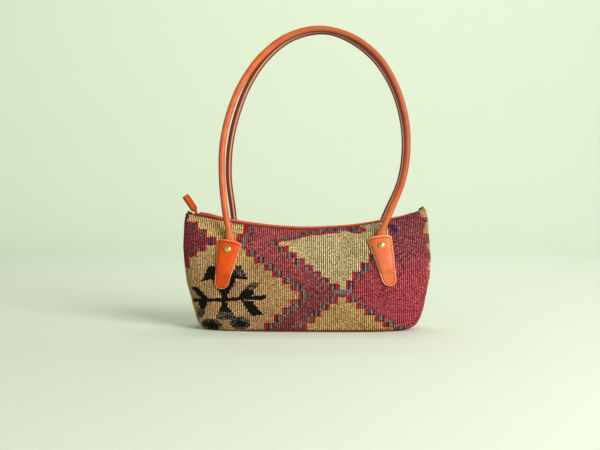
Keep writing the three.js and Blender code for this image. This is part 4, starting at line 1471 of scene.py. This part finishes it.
@dataclass
class ZipFastener:
    """The zip in the mouth: its tapes, closed teeth and leather pull."""

    shell: BagShell
    drop: float = 4.5 * MM
    tape_thickness: float = 0.8 * MM
    tape_end_margin: float = 8.5 * MM
    tape_columns: int = 160
    tape_rows: int = 9
    corner_inset: float = 2.5 * MM
    corner_ridge: float = 2.8 * MM
    corner_depth: float = 3.2 * MM
    corner_run: float = 6 * MM
    corner_rise: float = 1.6 * MM
    tip_narrowing: float = 0.7
    climb_parts: Series = (0.4, 0.7, 1.0)
    tip_parts: Series = (0.35, 0.7, 1.0)
    chain_half_width: float = 2.3 * MM
    chain_end_margin: float = 7.8 * MM
    tooth_pitch: float = 2.6 * MM
    tooth_size: Place = (1.5 * MM, 3.0 * MM, 1.9 * MM)
    tooth_edge: float = 0.3 * MM
    tooth_overlap: float = 0.75 * MM
    tooth_stagger: float = 0.25
    slider_length: float = 11 * MM
    slider_end_gap: float = 1.5 * MM
    bar_height: float = 5.6 * MM
    pull_length: float = 26.6 * MM
    pull_half_width: float = 4.5 * MM
    pull_thickness: float = 2.6 * MM
    pull_edge: float = 0.5 * MM
    pull_lean: float = math.radians(48.5)
    neck_half_width: float = 1.7 * MM
    neck_start: float = 1.2 * MM
    neck_length: float = 6.0 * MM
    neck_blend: float = 3 * MM
    neck_rows: int = 11
    strip_marks: Series = (12 * MM, 16 * MM, 20 * MM)
    strip_columns: Series = (-1, -0.86, -0.5, 0, 0.5, 0.86, 1)
    # Darkened edges, and painted shade across the pull's left side, away from the light
    burnish_and_shade: Series = (0.9, 0.9, 0.65, 0, 0, 0.3, 0.7)
    tip_marks: Series = (1.2 * MM, 0.6 * MM, 0.0)
    tip_taper: Series = (0.0, 0.25 * MM, 0.9 * MM)
    eye_radius: float = 1.43 * MM
    eye_wall: float = 1.2 * MM
    eye_join: float = 0.85
    eye_edge: float = 0.25 * MM
    eye_points: int = 24
    eye_columns: Series = (-1, -0.9, 0, 0.9, 1)
    stitch_pitch: float = 2.6 * MM
    stitch_start: float = 1.5 * MM
    stitch_end: float = 2 * MM
    stitch_offset: float = 0.22
    stitch_half: Place = (0.9 * MM, 0.3 * MM, 0.25 * MM)

    def __post_init__(self) -> None:
        """Works out the zip's arc and where the slider rests."""
        self.radius = self.shell.rim_radius + self.drop
        half_arc = self.radius * math.asin(self.shell.rim_half_length / self.radius)
        self.half_chain = half_arc - self.chain_end_margin
        self.rest_angle = (self.slider_length / 2 + self.slider_end_gap - self.half_chain) / self.radius

    def on_arc(self, angle: float, lift: float = 0.0) -> Vector:
        """A point of the zip's middle line, or lift above it."""
        reach = self.radius - lift
        return Vector((reach * math.sin(angle), 0, self.shell.rim_centre - reach * math.cos(angle)))

    def tape(self, side: Side, material: Material) -> None:
        """Weaves one tape, from its wall to its row of teeth.

        Args:
            side: which wall.
            material: the tape's finish.
        """
        depth = self.shell.wall + FIT + self.tape_thickness
        middle = self.shell.row(np.zeros(1), 1.0)
        lean = float(self.shell.normals(middle)[0, 2])
        share = 1 - (self.drop - depth * lean) / self.shell.rim_mid_height
        reach = self.shell.reach(share) - self.tape_end_margin
        cloth = np.linspace(-reach, reach, self.tape_columns)
        edge = self.shell.off(self.shell.row(cloth, share), -depth)
        inner = edge.copy()
        inner[:, 1] = -np.minimum(self.chain_half_width + FIT, np.abs(edge[:, 1]) - FIT)
        height = self.shell.rim_centre - np.sqrt(self.radius**2 - edge[:, 0] ** 2)
        inner[:, 2] = height
        edge[:, 2] = height
        rows = np.array([inner + (edge - inner) * part for part in np.linspace(0, 1, self.tape_rows)])
        left, right = (self.tape_end(rows[:, end], hand) for end, hand in ((0, -1), (-1, 1)))
        rows = np.concatenate([left[:, ::-1], rows, right], axis=1)
        run = run_along(rows[self.tape_rows // 2])
        chart = np.stack([np.abs(rows[..., 1]), np.broadcast_to(run, rows.shape[:2])], axis=-1) / MM
        mesh = mapped_grid(side.place(rows), ("cloth", chart))
        face_towards(mesh, (0, 0, 1))
        piece = make_piece(mesh, f"{side.label}_tape", material)
        thicken(piece, self.tape_thickness, 0.0)
        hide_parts(f"{side.label}_zip_tape")
        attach(piece, "bag")

    def tape_end(self, last: Array, hand: int) -> Array:
        """A tape's end, which climbs out of the mouth's corner.

        Args:
            last: the tape's last line across.
            hand: -1 for the left corner and 1 for the right one.

        Returns:
            Further lines across, from the tape to its tip.
        """
        height = self.shell.rim_height(np.array(self.shell.rim_half_length))
        seam = np.array([hand * (self.shell.rim_half_length - self.corner_inset), 0.0, float(height)])
        tip = self.shell.settle(seam[None])[0]
        depth = np.linspace(FIT, self.corner_depth, len(last))
        ridge = np.outer(1 - depth / self.corner_depth, [0, 0, self.corner_ridge])
        start = tip - np.array([hand * self.corner_run, 0, self.corner_rise])
        foot = start - np.outer(depth, [0, 1, 0]) + ridge / 2
        head = tip - np.outer(depth, [0, self.tip_narrowing, 0]) + ridge
        lines = [last + (foot - last) * part for part in self.climb_parts]
        lines += [foot + (head - foot) * part for part in self.tip_parts]
        return np.stack(lines, axis=1)

    def teeth(self, side: Side, material: Material) -> None:
        """Moulds one row of teeth, each reaching past the middle between two of the other row.

        Args:
            side: which wall.
            material: the teeth's finish.
        """
        mesh = bmesh.new()
        size = Matrix.Diagonal((*self.tooth_size, 1.0))
        for index in range(int(2 * self.half_chain / self.tooth_pitch)):
            step = index + 0.5 + self.tooth_stagger * side.value
            angle = (step * self.tooth_pitch - self.half_chain) / self.radius
            place = self.on_arc(angle)
            place.y = -side.value * (self.tooth_size[1] / 2 - self.tooth_overlap)
            turn = Matrix.Rotation(-angle, 4, "Y")
            bmesh.ops.create_cube(mesh, size=1.0, matrix=Matrix.Translation(place) @ turn @ size)
        bevel_edges(mesh, mesh.edges[:], self.tooth_edge, 1)
        piece = make_piece(mesh, f"{side.label}_teeth", material, flat=True)
        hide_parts(f"{side.label}_zip_teeth")
        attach(piece, "bag")

    def pull(self, leather: Material, thread: Material) -> None:
        """Cuts the leather pull, looped round the slider's bar, and its line of stitches.

        Args:
            leather, thread: the finishes.
        """
        eye_height = self.bar_height + self.eye_radius + self.eye_wall * self.eye_join
        foot = np.array(self.on_arc(self.rest_angle, eye_height))
        lean = self.pull_lean + self.rest_angle
        along = np.array([-math.sin(lean), 0, math.cos(lean)])
        across = np.array([math.cos(lean), 0, math.sin(lean)])
        neck = np.linspace(0, self.neck_length + self.neck_blend, self.neck_rows)
        runs = np.concatenate([neck, self.strip_marks, self.pull_length - np.array(self.tip_marks)])
        widen = smoothstep(runs, self.neck_start, self.neck_length)
        halves = self.neck_half_width + (self.pull_half_width - self.neck_half_width) * widen
        halves[-len(self.tip_taper) :] -= np.array(self.tip_taper)
        sideways = halves[:, None] * np.array(self.strip_columns)
        rows = foot + runs[:, None, None] * along + sideways[..., None] * across
        # Darkened edges, and painted shade on the left side of the strip
        mesh = mapped_grid(rows, marks={"crease": np.tile(self.burnish_and_shade, (len(runs), 1))})
        strip = make_piece(mesh, "pull_strip", leather)
        thicken(strip, self.pull_thickness, 0.0)
        round_edges(strip, self.pull_edge)
        stitches = bmesh.new()
        first, last = self.neck_length + self.stitch_start, self.pull_length - self.stitch_end
        for run in np.arange(first, last, self.stitch_pitch):
            for face in (-1, 1):
                place = Vector(foot + run * along - across * self.pull_half_width * self.stitch_offset)
                place.y += face * self.pull_thickness / 2
                add_stitch(stitches, place, Vector(along), Vector((0, face, 0)), Vector(self.stitch_half))
        seam = make_piece(stitches, "pull_stitches", thread)
        loop = self.loop(leather)
        for piece in (strip, seam, loop):
            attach(piece, "pull")
        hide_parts("zip_pull")

    def loop(self, leather: Material) -> Piece:
        """Bends the pull's end into a loop round the slider's bar.

        Args:
            leather: the hide's finish.

        Returns:
            The loop.
        """
        bar = self.on_arc(self.rest_angle, self.bar_height)
        axis = np.array([math.cos(self.rest_angle), 0, math.sin(self.rest_angle)])
        up = np.array([-axis[2], 0, axis[0]])
        turns = np.linspace(0, 2 * math.pi, self.eye_points + 1)
        round_bar = np.cos(turns)[:, None] * np.array([0, 1, 0]) + np.sin(turns)[:, None] * up
        ring = np.array(bar) + round_bar * (self.eye_radius + self.eye_wall)
        rows = [ring + axis * share * self.neck_half_width for share in self.eye_columns]
        mesh = mapped_grid(np.array(rows))
        bmesh.ops.recalc_face_normals(mesh, faces=mesh.faces)
        if sum((face.calc_center_median() - bar).dot(face.normal) for face in mesh.faces) < 0:
            bmesh.ops.reverse_faces(mesh, faces=mesh.faces)
        piece = make_piece(mesh, "pull_loop", leather)
        thicken(piece, self.eye_wall)
        round_edges(piece, self.eye_edge)
        return piece


@dataclass
class HandleTabs:
    """Leather tabs that hold the handle ends: stitched all round and riveted near the top.

    The edge's marks and the body's span are in millimetres.
    """

    shell: BagShell
    x: float = 94 * MM
    top: float = 115.5 * MM
    length: float = 58 * MM
    top_half_width: float = 15.4 * MM
    end_radius: float = 8.9 * MM
    thickness: float = 2.2 * MM
    edge_round: float = 0.3 * MM
    splay: float = math.radians(10.5)
    slant: float = math.radians(10.5)
    crown_power: float = 4.0
    tongue_half_thickness: float = 1.3 * MM
    mouth_half_thickness: float = 2.6 * MM
    flattening: float = 4 * MM
    tongue_span: Point = (36 * MM, 45.5 * MM)
    edge_marks: Series = (0, 0.5, 1.0, 1.6, 2.1, 2.6, 3.3, 4.6)
    body_span: Point = (6.5, 47)
    body_rows: int = 28
    tip_rows: int = 16
    middle_columns: int = 7
    raw_span: Point = (0.4 * MM, 1.3 * MM)
    groove: float = 0.28 * MM
    groove_width: float = 0.55 * MM
    stitch_inset: float = 2.1 * MM
    stitch_pitch: float = 3.6 * MM
    stitch_half: Place = (1.35 * MM, 0.62 * MM, 0.45 * MM)
    stitch_sink: float = 0.12 * MM
    seam_step: float = 0.6 * MM
    seam_points: int = 200
    turn_points: int = 80
    rivet_drop: float = 9.3 * MM
    rivet_radius: float = 4.4 * MM
    rivet_height: float = 2.8 * MM
    rivet_edge: float = 0.7 * MM
    rivet_chamfer: float = 0.4
    rivet_foot: float = 0.9
    rivet_dome: float = 0.93
    dome_points: int = 10
    rivet_steps: int = 32

    def place(self, across: Array, down: Array) -> tuple[Array, Array]:
        """Where a point of the right front tab is, seen from the front.

        Args:
            across, down: the point's place on the tab, from the middle of its top edge.

        Returns:
            Its x and its height.
        """
        x = self.x + across * math.cos(self.slant) + down * math.sin(self.splay)
        return x, self.top + across * math.sin(self.slant) - down * math.cos(self.splay)

    def half_width(self, down: Array) -> Array:
        """Half the tab's width at a distance below its top."""
        straight = self.length - self.end_radius
        taper = self.top_half_width + (self.end_radius - self.top_half_width) * down / straight
        tip = np.sqrt(np.maximum(self.end_radius**2 - np.maximum(down - straight, 0) ** 2, 0))
        return np.where(down <= straight, taper, tip)

    def tongue_half(self, down: Array) -> Array:
        """Half the thickness of the handle's end under the tab."""
        share = smoothstep(down, 0, self.flattening)
        return self.mouth_half_thickness + (self.tongue_half_thickness - self.mouth_half_thickness) * share

    def lift(self, across: Array, down: Array) -> Array:
        """How far the tab's back stands off the wall, over the handle's end."""
        reach = 1 - smoothstep(down, *self.tongue_span)
        crown = 1 - (across / np.maximum(self.half_width(down), self.end_radius)) ** self.crown_power
        return FIT + 2 * (self.tongue_half(down) + FIT) * reach * crown

    def surface(self, across: Array, down: Array, above: Array | float) -> tuple[Array, Array]:
        """Points on or above the tab's face.

        Args:
            across, down: places on the tab.
            above: distance off the tab's back.

        Returns:
            The points and the directions out of the wall there.
        """
        wall = self.shell.behind(*self.place(across, down))
        normals = self.shell.normals(wall)
        return wall + normals * (self.lift(across, down) + above)[..., None], normals

    def to_corner(self, points: Array, side: Side, hand: int) -> Array:
        """Points of the right front tab taken to another corner of the settled bag."""
        return self.shell.settle(self.aim(points, side, hand))

    def aim(self, directions: Array, side: Side, hand: int) -> Array:
        """Directions at the right front tab turned to another corner."""
        return side.place(directions * np.array([hand, 1, 1]))

    def build(self, side: Side, hand: int, leather: Material, thread: Material) -> None:
        """Cuts one tab and stitches it down.

        Args:
            side, hand: which wall, and 1 for its right end or -1 for its left one.
            leather, thread: the finishes.
        """
        margins = np.array(self.edge_marks) * MM
        body = np.linspace(*self.body_span, self.body_rows) * MM
        tip = np.sin(np.linspace(0, math.pi / 2, self.tip_rows))[1:] * self.end_radius
        downs = np.concatenate([margins, body, self.length - self.end_radius + tip])
        rows, raws, aboves = [], [], []
        for down in downs:
            half = float(self.half_width(np.array(down)))
            scale = min(1.0, half / self.end_radius)
            edge = half - margins * scale
            inner = np.linspace(0, edge[-1], self.middle_columns)[:-1]
            across = np.concatenate([-edge, -inner[:0:-1], inner, edge[::-1]])
            rows.append(across)
            to_end = self.length - down if down > self.length - self.end_radius else self.length
            margin = np.minimum(np.minimum(half - np.abs(across), down), to_end)
            raws.append(1 - smoothstep(margin, *self.raw_span))
            dip = np.exp(-(((margin - self.stitch_inset) / self.groove_width) ** 2)) * scale
            aboves.append(self.thickness - self.groove * dip)
        across = np.array(rows)
        down = np.broadcast_to(downs[:, None], across.shape)
        points, _ = self.surface(across, down, np.array(aboves))
        mesh = mapped_grid(self.to_corner(points, side, hand), marks={"raw": np.array(raws)})
        face_towards(mesh, (0, -side.value, 0))
        corner = side.corner(hand)
        tab = make_piece(mesh, f"{corner}_leather_tab", leather)
        thicken(tab, self.thickness)
        round_edges(tab, self.edge_round)
        seam = self.stitch(side, hand, thread)
        for piece in (tab, seam):
            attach(piece, "bag")
        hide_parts(f"{corner}_tab")

    def seam_line(self) -> Array:
        """The stitch line round the tab, down its right edge, round the tip and along the top.

        Returns:
            Places on the tab, across and down, closely spaced.
        """
        inset = self.stitch_inset
        straight = self.length - self.end_radius
        downs = np.linspace(inset, straight, self.seam_points)
        right = np.stack([self.half_width(downs) - inset, downs], axis=-1)
        angles = np.linspace(0, math.pi, self.turn_points)[1:-1]
        radius = self.end_radius - inset
        tip = np.stack([radius * np.cos(angles), straight + radius * np.sin(angles)], axis=-1)
        left = right[::-1] * np.array([-1, 1])
        across = np.linspace(left[-1, 0], right[0, 0], self.turn_points)
        top = np.stack([across, np.full(self.turn_points, inset)], axis=-1)
        return np.vstack([right, tip, left, top[1:]])

    def stitch(self, side: Side, hand: int, thread: Material) -> Piece:
        """Sews one tab's seam, a dark dash every stitch.

        Args:
            side, hand: which corner.
            thread: the thread's finish.

        Returns:
            The stitches.
        """
        line = self.seam_line()
        run = run_along(line)
        count = round(run[-1] / self.stitch_pitch)
        mesh = bmesh.new()
        for spot in (np.arange(count) + 0.5) * run[-1] / count:
            places = []
            for offset in (-self.seam_step, 0.0, self.seam_step):
                at = np.clip(spot + offset, 0, run[-1])
                across, down = (np.array([np.interp(at, run, line[:, axis])]) for axis in (0, 1))
                point, normal = self.surface(across, down, self.thickness - self.stitch_sink)
                places.append(self.to_corner(point, side, hand)[0])
            along = Vector(places[2] - places[0])
            up = Vector(self.aim(normal, side, hand)[0])
            add_stitch(mesh, Vector(places[1]), along, up, Vector(self.stitch_half))
        return make_piece(mesh, f"{side.corner(hand)}_tab_stitches", thread)

    def rivet(self, side: Side, hand: int, brass: Material) -> None:
        """Turns one domed rivet head on its collar.

        Args:
            side, hand: which corner.
            brass: the metal's finish.
        """
        point, normal = self.surface(np.array([0.0]), np.array([self.rivet_drop]), self.thickness + FIT)
        seat = Vector(self.to_corner(point, side, hand)[0])
        up = Vector(self.aim(normal, side, hand)[0])
        radius, edge = self.rivet_radius, self.rivet_edge
        outline = [(radius * self.rivet_foot, 0.0), (radius, edge * self.rivet_chamfer), (radius, edge)]
        for angle in np.linspace(0, math.pi / 2, self.dome_points):
            reach = max(radius * self.rivet_dome * math.cos(angle), 0.0)
            outline.append((reach, edge + (self.rivet_height - edge) * math.sin(angle)))
        mesh = revolve(outline, self.rivet_steps)
        close_ends(mesh)
        turn = up.to_track_quat("Z", "Y").to_matrix().to_4x4()
        bmesh.ops.transform(mesh, matrix=Matrix.Translation(seat) @ turn, verts=mesh.verts)
        corner = side.corner(hand)
        piece = make_piece(mesh, f"{corner}_rivet_head", brass)
        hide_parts(f"{corner}_rivet")
        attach(piece, "bag")


@dataclass
class Handles:
    """Rolled leather handles: each one length of hide from a flat end, round the loop, to the other.

    The loops' lines and the flat ends' marks are in millimetres.
    """

    shell: BagShell
    radius: float = 4.2 * MM
    fold_height: float = 128 * MM
    hinge_depth: float = 38.2 * MM
    bend_reach: float = 9 * MM
    line_height: Series = (
        128, 153.5, 195.5, 238, 279.5, 318.5, 353, 378.5, 387.5,
        376, 349.5, 313, 272.5, 230.5, 188.5, 149.5, 128,
    )
    front_line: Series = (
        -97, -102, -106.5, -106, -97.5, -81.5, -56.5, -22.5, 19,
        60.5, 93.5, 115, 127, 129.5, 123.2, 107.4, 98,
    )
    back_line: Series = (
        -96.5, -99.5, -104, -101.6, -92, -76, -52, -19, 22,
        58, 91, 114, 126.5, 129.8, 124, 107.5, 98,
    )
    back_drop: float = 1.4 * MM
    tongue_marks: Series = (32, 26, 20, 14, 9.3, 4, 0)
    tongue_half_width: float = 6.2 * MM
    tongue_squareness: float = 4.0
    round_until: float = 3.0
    seam_notch: float = 0.6 * MM
    seam_half_angle: float = 0.42
    seam_shares: Series = (0.0, 0.62, 0.77, 1.0)
    seam_turns: Series = (0.25, 0.62, 0.12, 0.12)
    raw_span: Point = (0.12, 0.3)
    # Painted shade in the folds on both sides of the seam
    fold_start: Point = (0.16, 0.34)
    fold_end: Point = (0.75, 1.3)
    # Painted shade on the side of each loop turned away from these directions, where the light falls least
    front_bright: Place = (0.7, -0.3, 0.8)
    back_bright: Place = (0.8, 0.6, 0.6)
    away_span: Point = (-0.1, 0.65)
    away_share: float = 0.9
    # Painted shade over the right leg's upper part, deeper towards the right
    dull_x: Series = (-0.06, 0.02, 0.09)
    tarnish_and_shade_share: Series = (0.0, 0.22, 0.45)
    tarnish_and_shade_span: Point = (0.14, 0.2)
    ring_points: int = 36
    path_steps: int = 12

    def loop_line(self, side: Side) -> Array:
        """A loop's middle line from the left fold to the right one, as if it were the front one.

        Args:
            side: which handle.

        Returns:
            The points.
        """
        height = np.array(self.line_height) * MM
        share = (height - self.fold_height) / (height.max() - self.fold_height)
        tab = HandleTabs(self.shell)
        wall = self.shell.behind(np.array([tab.x]), np.array([tab.top]))
        mouth = float(self.shell.off(wall, FIT + tab.mouth_half_thickness)[0, 1])
        depth = mouth + (-self.radius - FIT / 2 - mouth) * share
        if side is Side.BACK:
            height = height - self.back_drop * share**2
        x = np.array(self.front_line if side is Side.FRONT else self.back_line) * MM
        return np.stack([x, depth, height], axis=-1)

    def end_knots(self, tab: HandleTabs, hand: int) -> Array:
        """The flat end under a tab, from its tip up to the tab's mouth.

        Args:
            tab: the tab that holds it.
            hand: 1 for the right end, -1 for the left one.

        Returns:
            Rows of place, half width, half thickness, squareness and outward direction.
        """
        downs = np.array(self.tongue_marks) * MM
        wall = self.shell.behind(*tab.place(np.zeros(len(downs)), downs))
        normals = self.shell.normals(wall)
        halves = tab.tongue_half(downs)
        centres = wall + normals * (FIT + halves)[:, None]
        widths = np.full(len(downs), self.tongue_half_width)
        sizes = np.stack([widths, halves, np.full(len(downs), self.tongue_squareness)], axis=-1)
        flip = np.array([hand, 1, 1])
        return np.hstack([centres * flip, sizes, normals * flip])

    def path(self, side: Side, tabs: dict[int, HandleTabs]) -> Array:
        """One handle's whole run, from its left tip to its right one.

        Args:
            side: which handle, laid out as if it were the front one.
            tabs: the left tab at -1 and the right one at 1.

        Returns:
            Rows as end_knots gives them.
        """
        line = self.loop_line(side)
        sizes = np.tile([self.radius, self.radius, ROUND], (len(line), 1))
        out = np.tile([0.0, -1.0, 0.0], (len(line), 1))
        loop = np.hstack([line, sizes, out])
        ends = {hand: self.end_knots(tab, hand) for hand, tab in tabs.items()}
        return smooth_path(np.vstack([ends[-1], loop, ends[1][::-1]]), self.path_steps)

    def build(self, side: Side, tabs: dict[int, HandleTabs], leather: Material) -> None:
        """Rolls one handle.

        Args:
            side: which wall.
            tabs: the left tab at -1 and the right one at 1.
            leather: the hide's finish.
        """
        path = self.path(side, tabs)
        turns = np.linspace(0, 2 * math.pi, self.ring_points + 1) - math.pi / 2
        centres, powers = path[:, :3], np.clip(path[:, 5], ROUND, self.tongue_squareness)
        rings = tube(centres, path[:, 6:9], path[:, 3], path[:, 4], powers, turns)
        shares = np.linspace(0, 1, len(path))
        seam = np.interp(shares, self.seam_shares, self.seam_turns)[:, None] - math.pi / 2
        from_seam = np.abs(np.mod(turns - seam + math.pi, 2 * math.pi) - math.pi)
        roundness = 1 - smoothstep(powers, ROUND, self.round_until)[:, None]
        outward = unit(rings - centres[:, None])
        notch = roundness * (1 - smoothstep(from_seam, 0, self.seam_half_angle)) * self.seam_notch
        rings -= outward * notch[..., None]
        raw = roundness * (1 - smoothstep(from_seam, *self.raw_span))
        # Painted shade in the folds beside the seam
        beside = smoothstep(from_seam, *self.fold_start) * (1 - smoothstep(from_seam, *self.fold_end))
        # Painted shade on the side turned from the light
        bright = self.front_bright if side is Side.FRONT else self.back_bright
        away = smoothstep(-side.place(outward) @ np.array(bright), *self.away_span)
        # Painted shade over the right leg, which is darker towards the right above a height
        dull = np.interp(centres[:, 0], self.dull_x, self.tarnish_and_shade_share)
        dull = dull * smoothstep(centres[:, 2], *self.tarnish_and_shade_span)
        crease = 1 - (1 - np.maximum(roundness * beside, away * self.away_share)) * (1 - dull[:, None])
        placed = self.shell.settle(side.place(rings))
        mesh = mapped_grid(placed, marks={"raw": raw, "crease": crease})
        close_ends(mesh)
        piece = make_piece(mesh, f"{side.label}_rolled_handle", leather)
        ends = [f"{side.corner(hand)}_handle_end" for hand in (-1, 1)]
        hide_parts(f"{side.label}_handle", *ends)
        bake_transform(piece)


# The studio


@dataclass(frozen=True)
class Lamp:
    """One square soft light."""

    name: str
    place: Place
    target: Place
    size: float
    power: float
    tint: Place

    def hang(self) -> None:
        """Hangs the light in its place, facing its target."""
        light = bpy.data.lights.new(self.name, "AREA")
        light.size = self.size
        light.energy = self.power
        light.color = self.tint
        holder = bpy.data.objects.new(self.name, light)
        holder.location = self.place
        toward = Vector(self.target) - Vector(self.place)
        holder.rotation_euler = toward.to_track_quat("-Z", "Y").to_euler()
        bpy.context.scene.collection.objects.link(holder)


@dataclass
class Studio:
    """A pale round sweep, soft light from the upper right and a camera at the bag's front."""

    camera_place: Place = (0.035, -1.0981, 0.1707)
    camera_pitch: float = math.radians(1.9)
    camera_yaw: float = math.radians(-2.23)
    lens: float = 50.52
    sweep_radius: float = 2.6
    sweep_bend: float = 0.9
    sweep_height: float = 2.6
    bend_points: int = 14
    sweep_steps: int = 72
    world_colour: Colour = dye(240, 246, 236)
    world_strength: float = 0.24
    lamps: tuple[Lamp, ...] = (
        Lamp("key", (1.3, -1.3, 1.0), (0.0, 0.0, 0.15), 1.0, 46.0, (1.0, 0.98, 0.96)),
        Lamp("fill", (-1.3, -1.2, 0.9), (0.0, 0.0, 0.15), 1.2, 1.5, (0.95, 1.0, 0.97)),
        Lamp("wash", (0.3, 0.9, 2.0), (0.2, 2.6, 0.7), 1.6, 22.0, (0.97, 1.0, 0.98)),
        Lamp("floor", (0.0, 0.35, 2.2), (0.0, 0.2, 0.0), 1.6, 6.0, (0.97, 1.0, 0.98)),
    )

    def build(self, paper: Material) -> None:
        """Sets the sweep, the lights and the camera.

        Args:
            paper: the sweep's finish.
        """
        flat = self.sweep_radius - self.sweep_bend
        outline = [(0.0, 0.0)]
        for bend in np.linspace(0, math.pi / 2, self.bend_points):
            outline.append((flat + self.sweep_bend * math.sin(bend), self.sweep_bend * (1 - math.cos(bend))))
        mesh = revolve([*outline, (self.sweep_radius, self.sweep_height)], self.sweep_steps)
        bmesh.ops.recalc_face_normals(mesh, faces=mesh.faces)
        sweep = make_object(mesh, "studio_sweep", paper)
        for lamp in self.lamps:
            lamp.hang()
        self.world()
        self.camera()

    def world(self) -> None:
        """Lights the room evenly and keeps colours as they are dyed."""
        world = bpy.data.worlds.new("studio_air")
        world.use_nodes = True
        sky = world.node_tree.nodes["Background"]
        sky.inputs["Color"].default_value = self.world_colour
        sky.inputs["Strength"].default_value = self.world_strength
        scene = bpy.context.scene
        scene.world = world
        scene.view_settings.view_transform = "Standard"

    def camera(self) -> None:
        """Stands the camera where the picture was taken from."""
        lens = bpy.data.cameras.new("camera")
        lens.lens = self.lens
        holder = bpy.data.objects.new("camera", lens)
        holder.location = self.camera_place
        holder.rotation_euler = (math.pi / 2 - self.camera_pitch, 0, -self.camera_yaw)
        bpy.context.scene.collection.objects.link(holder)
        bpy.context.scene.camera = holder


def dress_nodes(material: Material, names: Sequence[str]) -> None:
    """Gives CAD nodes that keep their shape a finish.

    Args:
        material: the finish.
        names: the nodes.
    """
    for name in names:
        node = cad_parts[name]
        node.data.materials.clear()
        node.data.materials.append(material)
        LOG.info("%s: finished as it is", name)


def main() -> None:
    """Builds the bag's pieces in order."""
    logging.basicConfig(level=logging.INFO, format="%(name)s %(message)s")
    wool = KilimFinish().make()
    tan = LeatherFinish(
        "tan_tab_hide", dye(220, 82, 8), dye(204, 64, 2), raw=dye(238, 148, 96), gloss=0.2
    ).make()
    # A paler copy of the tabs' hide: painted glare for the front right tab
    glare_lit_tan = LeatherFinish(
        "glare_lit_tab_hide", dye(214, 110, 62), dye(204, 92, 46), raw=dye(238, 160, 116)
    ).make()
    # The handles' dark red is painted shade for their folds and for the sides turned from the light
    roll = LeatherFinish(
        "rolled_handle_hide", dye(210, 106, 56), dye(192, 84, 38),
        raw=dye(202, 162, 146), crease=dye(92, 20, 10), roughness=0.32,
    ).make()
    # The piping's dark red is painted shade for its underside
    piping_hide = LeatherFinish(
        "piping_hide", dye(216, 96, 46), dye(190, 70, 30), crease=dye(104, 18, 20)
    ).make()
    # Painted shade: the base's hide is darkened to dark red, as its edge lies in shade under the wall
    base_hide = LeatherFinish("base_hide", dye(128, 34, 34), dye(92, 20, 24)).make()
    cotton = TwillFinish("lining_cotton", dye(130, 100, 70), dye(96, 72, 50)).make()
    webbing = TwillFinish("tape_webbing", dye(58, 34, 42), dye(30, 18, 24)).make()
    brass = BrassFinish().make()
    moulded = PlainFinish("tooth_plastic", dye(70, 56, 62), dye(46, 38, 44), 0.45, 900.0).make()
    thread = PlainFinish("dark_thread", dye(76, 50, 44), dye(48, 30, 28), 0.7, 2500.0).make()
    pale_thread = PlainFinish("pale_thread", dye(232, 178, 120), dye(206, 146, 88), 0.7, 2500.0).make()
    paper = PaperFinish(dye(222, 229, 212), dye(206, 213, 197)).make()
    shell = BagShell()
    Studio().build(paper)
    walls = KilimWalls(shell)
    base = Base(shell)
    rims = RimPipings(shell)
    fastener = ZipFastener(shell)
    handles = Handles(shell)
    front_tabs = {
        -1: HandleTabs(shell, x=95.5 * MM, top=112 * MM),
        1: HandleTabs(shell, x=94 * MM, top=116 * MM, splay=math.radians(13), slant=math.radians(5)),
    }
    tabs = {Side.FRONT: front_tabs, Side.BACK: {hand: HandleTabs(shell) for hand in (-1, 1)}}
    base.build(base_hide)
    base.line(cotton)
    backs = []
    for side in Side:
        walls.build(side, wool)
        rims.build(side, piping_hide)
        fastener.tape(side, webbing)
        fastener.teeth(side, moulded)
        handles.build(side, tabs[side], roll)
        for hand, tab in tabs[side].items():
            # The front right tab takes the paler copy of the hide, its painted glare
            tab.build(side, hand, glare_lit_tan if (side, hand) == (Side.FRONT, 1) else tan, thread)
            tab.rivet(side, hand, brass)
            backs.append(f"{side.corner(hand)}_rivet_back")
    fastener.pull(tan, pale_thread)
    dress_nodes(brass, [*backs, "left_zip_stop", "right_zip_stop", "zip_slider", "zip_slider_foot"])


if __name__ == "__main__":
    main()
